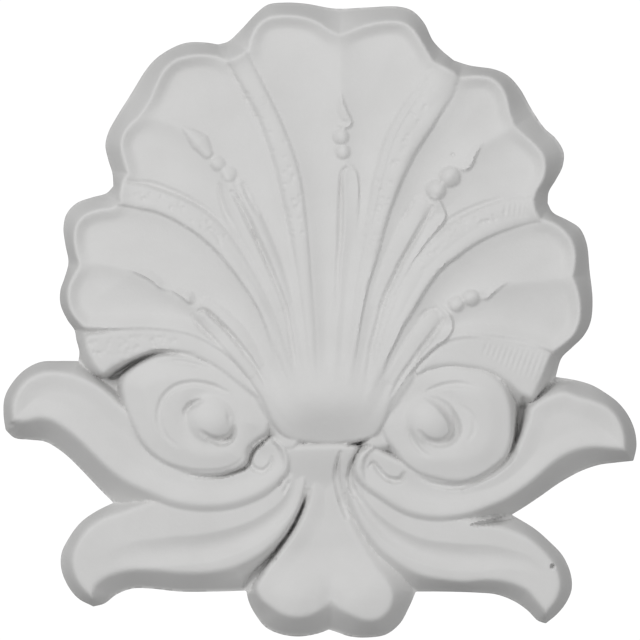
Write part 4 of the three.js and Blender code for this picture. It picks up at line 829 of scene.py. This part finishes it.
def motif_height(x, y, crown, foot, top):
    """The top inside the crown, and a wall from there down to the foot at the back."""
    out = np.zeros(x.shape)
    at = near(x, y, foot, 0)
    px, py = x[at], y[at]
    from_crown, to_foot = depth_in(px, py, crown), depth_in(px, py, foot)
    fall = SHOULDER * np.logaddexp(0, -from_crown / SHOULDER)
    share = fall / np.maximum(fall + np.maximum(to_foot, 0), 1e-6)
    out[at] = np.where(to_foot > 0, top(px, py, from_crown) * (1 - share), 0)
    return out


def dimple(h, x, y, at, draw, radii, depths):
    radius = draw.uniform(*radii)
    bead(h, x, y, at, radius, -draw.uniform(*depths) * DIMPLE, 1.0)


def crimping(h, x, y):
    """Lines pressed across the right band and a rib, and dimples on the ribs and the left band."""
    for count, start, onward, long, growth, slant, widths, depths in PRESSED:
        for k in range(count):
            top = (start[0] + onward[0] * k, start[1] + onward[1] * k)
            length = long + growth * k
            foot = (top[0] + slant * length, top[1] + length)
            stroke(h, x, y, [top, foot], widths, [CRIMP * depth for depth in depths])
    draw = np.random.default_rng(SEED)
    for path, reach in STIPPLED:
        line = evenly(spline(path, 4), 2.0)
        for _ in range(STIPPLES):
            at = line[draw.integers(len(line))] + draw.uniform(-reach, reach, 2)
            dimple(h, x, y, at, draw, *STIPPLE)
    for _ in range(BAND_DIMPLES):
        at = draw.uniform(*BAND_BOX)
        if at[0] < BAND_BROAD_TO:
            at[1] += draw.uniform(0, BAND_BROADER)
        dimple(h, x, y, at, draw, *BAND_DIMPLE)


def height(x, y):
    """The highest motif at each point, melted a little into its neighbour where two meet."""
    h = np.clip(LAND + GROUND_SLOPE * MM * depth_in(x, y, OUTLINE), 0, PLATE)
    for crown, foot, top in MOTIFS:
        other = motif_height(x, y, crown, foot, top)
        melt = np.clip(BLEND - np.abs(h - other), 0, None) / BLEND
        h = np.maximum(h, other) + melt * melt * BLEND / 4
    strokes(h, x, y, GAPS + FINE_CUTS)
    for row in PITS:
        bead(h, x, y, *row)
    crimping(h, x, y)
    return np.maximum(h, LAND / 2)


# Mesh

# In steps, unless it says otherwise.
CELL = 0.4  # of the raster that keeps mesh points apart
MARGIN = 20  # of that raster round the picture
RING_GAP = 1.8  # between the points of the outline
CROWN_ROWS = (-2.3, -1.1, 0.0, 1.1, 2.3)  # rows of points beside a crown
CROWN_GAP = 1.5
LINE_ROWS = (-1.2, 0, 1.2)  # and beside the lines of the carving
LINE_GAP = 1.6
PIT_ROWS = (0.4, 0.75, 1)  # rings in a pit, as shares of its radius
PIT_GAP = 0.8
PIT_POINTS = 24
ROW_CLEAR = 1.0  # from the outline to the rows
ROW_APART = 0.62  # points of crossing rows, as a share of the gap in a row
RASTER = 2.5  # pitch at which the unevenness is measured
LATTICES = ((1.6, 0.13), (2.3, 0.045), (3.6, 0.0))  # pitch, from this unevenness in mm
LATTICE_ROW = 0.87  # spacing of its rows, as a share of its pitch
LATTICE_CLEAR = 0.7  # from the outline, as a share of the pitch
LATTICE_APART = 0.72
SAME_POINT = 1e-4


class Thinned:
    """Points that keep a gap to those before them."""

    def __init__(self):
        side = int((PICTURE + 2 * MARGIN) / CELL)
        self.taken = np.zeros((side, side), bool)
        self.points = []

    def add(self, point, gap):
        i, j = int((point[0] + MARGIN) / CELL), int((point[1] + MARGIN) / CELL)
        r = int(gap / CELL)
        if self.taken[j - r:j + r + 1, i - r:i + r + 1].any():
            return
        self.taken[j, i] = True
        self.points.append(point)


def unevenness():
    """How far the height departs from a flat slope over a step, on a coarse raster."""
    places = np.arange(0, PICTURE + RASTER, RASTER)
    x, y = np.meshgrid(places, places)
    h = height(x, y)
    bend = np.zeros(h.shape)
    for axis in (0, 1):
        bend = np.maximum(bend, np.abs(np.roll(h, 1, axis) + np.roll(h, -1, axis) - 2 * h))
    wide = bend.copy()
    for axis in (0, 1):
        wide = np.maximum(wide, np.maximum(np.roll(wide, 1, axis), np.roll(wide, -1, axis)))
    return wide


def mesh_points(ring):
    """The ring, rows along crowns and lines, then lattices as fine as the relief needs."""
    kept = Thinned()
    for point in ring:
        kept.add(tuple(point), 0)
    rows = []
    for crown, _, _ in MOTIFS:
        rows += [(offset(crown, by, True), CROWN_GAP, True) for by in CROWN_ROWS]
    lines = [spline([*points, HUB], 4) for points in SPOKES]
    lines += [spline(path, 3) for path, *_ in LEDGES + GAPS + FINE_CUTS + DART_GROOVES]
    for line in lines:
        rows += [(offset(line, by, False), LINE_GAP, False) for by in LINE_ROWS]
    turn = np.linspace(0, 2 * math.pi, PIT_POINTS, endpoint=False)
    circle = np.stack([np.cos(turn), np.sin(turn)], 1)
    for at, radius, _ in PITS:
        rows += [(np.array(at) + radius * share * circle, PIT_GAP, True) for share in PIT_ROWS]
    for line, gap, is_closed in rows:
        line = evenly(line, gap, is_closed)
        clear = depth_in(line[:, 0], line[:, 1], OUTLINE) > ROW_CLEAR
        for point in line[clear]:
            kept.add(tuple(point), ROW_APART * gap)
    wide = unevenness()
    for pitch, least in LATTICES:
        xs, ys = np.meshgrid(np.arange(0, PICTURE, pitch),
                             np.arange(0, PICTURE, pitch * LATTICE_ROW))
        xs = xs + (np.arange(len(ys)) % 2)[:, None] * pitch / 2
        x, y = xs.ravel(), ys.ravel()
        cell = wide[(y / RASTER + 0.5).astype(int), (x / RASTER + 0.5).astype(int)]
        x, y = x[cell >= least], y[cell >= least]
        clear = depth_in(x, y, OUTLINE) > LATTICE_CLEAR * pitch
        for point in zip(x[clear], y[clear]):
            kept.add(point, LATTICE_APART * pitch)
    return kept.points


def place(grid, heights):
    """Grid points and heights as metres in the part's frame, fitted to the CAD solid's box."""
    dx, dy = grid[:, 0] - ORIGIN[0], grid[:, 1] - ORIGIN[1]
    x = dx * math.cos(LEAN) + dy * math.sin(LEAN)
    z = dx * math.sin(LEAN) - dy * math.cos(LEAN)
    low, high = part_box(NODE)
    x = low.x + (x - x.min()) / np.ptp(x) * (high.x - low.x)
    z = low.z + (z - z.min()) / np.ptp(z) * (high.z - low.z)
    y = high.y - heights / heights.max() * (high.y - low.y)
    return np.stack([x, y, z], 1)


def triangles_in(points, count):
    """The points with the triangles between them, inside the ring of the first count points."""
    flat, _, faces, *_ = delaunay_2d_cdt(points, [], [list(range(count))], 1, SAME_POINT)
    return flat, [tuple(face) for face in faces]


def carved_mesh():
    """The carved front, a flat back from the ring alone, and the upright edge between them."""
    ring = evenly(OUTLINE, RING_GAP, True)
    count = len(ring)
    points = [Vector(p) for p in mesh_points(ring)]
    flat, polygons = triangles_in(points, count)
    grid = np.array([tuple(p) for p in flat])
    heights = height(grid[:, 0], grid[:, 1])
    heights[:count] = LAND
    back = len(flat)
    _, back_faces = triangles_in(points[:count], count)
    polygons += [tuple(back + i for i in reversed(face)) for face in back_faces]
    for i in range(count):
        after = (i + 1) % count
        polygons.append((after, i, back + i, back + after))
    grid = np.vstack([grid, grid[:count]])
    return place(grid, np.concatenate([heights, np.zeros(count)])), polygons


SHARP_FROM = math.radians(60)
vertices, polygons = carved_mesh()
mesh = bpy.data.meshes.new("carved_onlay")
mesh.from_pydata(vertices.tolist(), [], polygons)
mesh.validate()
mesh.shade_smooth()
mesh.set_sharp_from_angle(angle=SHARP_FROM)
onlay = bpy.data.objects.new("carved_onlay", mesh)
bpy.context.scene.collection.objects.link(onlay)
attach(onlay, "root")
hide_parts(NODE)


# Material: matte primer over a casting, with a fine tooth and a faint unevenness

def add_noise(nodes, scale, detail):
    noise = nodes.new("ShaderNodeTexNoise")
    noise.inputs["Scale"].default_value = scale
    noise.inputs["Detail"].default_value = detail
    return noise


def add_bump(nodes, strength, distance):
    bump = nodes.new("ShaderNodeBump")
    bump.inputs["Strength"].default_value = strength
    bump.inputs["Distance"].default_value = distance
    return bump


def wire(tree, *joints):
    """Links nodes by rows of a node, its output, the next node and its input."""
    for source, out, target, into in joints:
        tree.links.new(source.outputs[out], target.inputs[into])


def plain_shader(material, roughness):
    material.use_nodes = True
    shader = material.node_tree.nodes["Principled BSDF"]
    shader.inputs["Roughness"].default_value = roughness
    return shader


def primed_material():
    material = bpy.data.materials.new(SLOT)
    shader = plain_shader(material, 0.62)
    shader.inputs["Specular IOR Level"].default_value = 0.28
    nodes = material.node_tree.nodes
    place_at = nodes.new("ShaderNodeTexCoord")
    tooth = add_noise(nodes, 900, 3)
    sweep = add_noise(nodes, 60, 4)
    shades = nodes.new("ShaderNodeValToRGB")
    darker, lighter = shades.color_ramp.elements
    darker.position, lighter.position = 0.3, 0.75
    darker.color = (0.725, 0.722, 0.716, 1)
    lighter.color = (0.765, 0.763, 0.758, 1)
    small = add_bump(nodes, 0.35, 0.00012)
    broad = add_bump(nodes, 0.3, 0.0006)
    wire(material.node_tree, (place_at, "Object", tooth, "Vector"),
         (place_at, "Object", sweep, "Vector"), (sweep, "Fac", shades, "Fac"),
         (shades, "Color", shader, "Base Color"), (tooth, "Fac", small, "Height"),
         (sweep, "Fac", broad, "Height"), (small, "Normal", broad, "Normal"),
         (broad, "Normal", shader, "Normal"))
    return material


onlay.data.materials.append(primed_material())


# Surroundings: soft light from the upper left and less from the right, a pale floor, white air

def area_light(name, at, size, power):
    light = bpy.data.lights.new(name, "AREA")
    light.shape = "DISK"
    light.size = size
    light.energy = power
    lamp = bpy.data.objects.new(name, light)
    lamp.location = at
    lamp.rotation_mode = "QUATERNION"
    lamp.rotation_quaternion = (-Vector(at)).to_track_quat("-Z", "Y")
    bpy.context.scene.collection.objects.link(lamp)


area_light("key", (-0.78, -1.7, 0.62), 0.7, 12.0)
area_light("fill", (1.3, -1.3, 0.0), 0.8, 3.9)

FLOOR_DROP = 0.05  # below the piece
FLOOR_HALF = 0.3
FLOOR_BACK = 0.12
floor_mesh = bpy.data.meshes.new("floor")
floor_z = cad_low.z - FLOOR_DROP
corners = [(-FLOOR_HALF, -FLOOR_HALF), (FLOOR_HALF, -FLOOR_HALF), (FLOOR_HALF, FLOOR_BACK),
           (-FLOOR_HALF, FLOOR_BACK)]
floor_mesh.from_pydata([(*corner, floor_z) for corner in corners], [], [(0, 1, 2, 3)])
floor = bpy.data.objects.new("floor", floor_mesh)
bpy.context.scene.collection.objects.link(floor)
pale = bpy.data.materials.new("floor_pale")
plain_shader(pale, 0.8).inputs["Base Color"].default_value = (0.62, 0.62, 0.62, 1)
floor.data.materials.append(pale)

# The air is brightest from one side, and plain white where the camera sees it.
AIR_FROM = (-0.36, -0.84, 0.40)
AIR_LOW = 0.06
AIR_HIGH = 0.57
AIR_SEEN = 1.05
world = bpy.data.worlds.new("studio")
bpy.context.scene.world = world
world.use_nodes = True
nodes = world.node_tree.nodes
air = nodes["Background"]
air.inputs["Color"].default_value = (1, 1, 1, 1)
way = nodes.new("ShaderNodeTexCoord")
towards = nodes.new("ShaderNodeVectorMath")
towards.operation = "DOT_PRODUCT"
towards.inputs[1].default_value = AIR_FROM
glow = nodes.new("ShaderNodeMapRange")
glow.inputs["From Min"].default_value = -1
glow.inputs["To Min"].default_value = AIR_LOW
glow.inputs["To Max"].default_value = AIR_HIGH
seen = nodes.new("ShaderNodeLightPath")
level = nodes.new("ShaderNodeMix")
level.inputs["B"].default_value = AIR_SEEN
wire(world.node_tree, (way, "Generated", towards, 0), (towards, "Value", glow, "Value"),
     (seen, "Is Camera Ray", level, "Factor"), (glow, "Result", level, "A"),
     (level, "Result", air, "Strength"))
bpy.context.scene.view_settings.view_transform = "Standard"


# Camera: straight on and rolled, so that the upright piece leans as in the photograph

CAMERA_AWAY = 4.0
SENSOR = 36
TRUE_PLANE = 0.007  # height above the back that shows at true scale
camera_data = bpy.data.cameras.new("camera")
camera = bpy.data.objects.new("camera", camera_data)
bpy.context.scene.collection.objects.link(camera)
bpy.context.scene.camera = camera
middle = PICTURE / 2
cx, cy = (middle - ORIGIN[0]) * MM / 1000, (middle - ORIGIN[1]) * MM / 1000
camera.location = (cx * math.cos(LEAN) + cy * math.sin(LEAN), -TRUE_PLANE - CAMERA_AWAY,
                   cx * math.sin(LEAN) - cy * math.cos(LEAN))
right = Vector((math.cos(LEAN), 0, math.sin(LEAN)))
up = Vector((-math.sin(LEAN), 0, math.cos(LEAN)))
camera.rotation_mode = "QUATERNION"
camera.rotation_quaternion = Matrix((right, up, right.cross(up))).transposed().to_quaternion()
camera_data.sensor_width = SENSOR
camera_data.lens = SENSOR * CAMERA_AWAY / (PICTURE * MM / 1000)
camera_data.clip_start = 0.5
camera_data.clip_end = 20
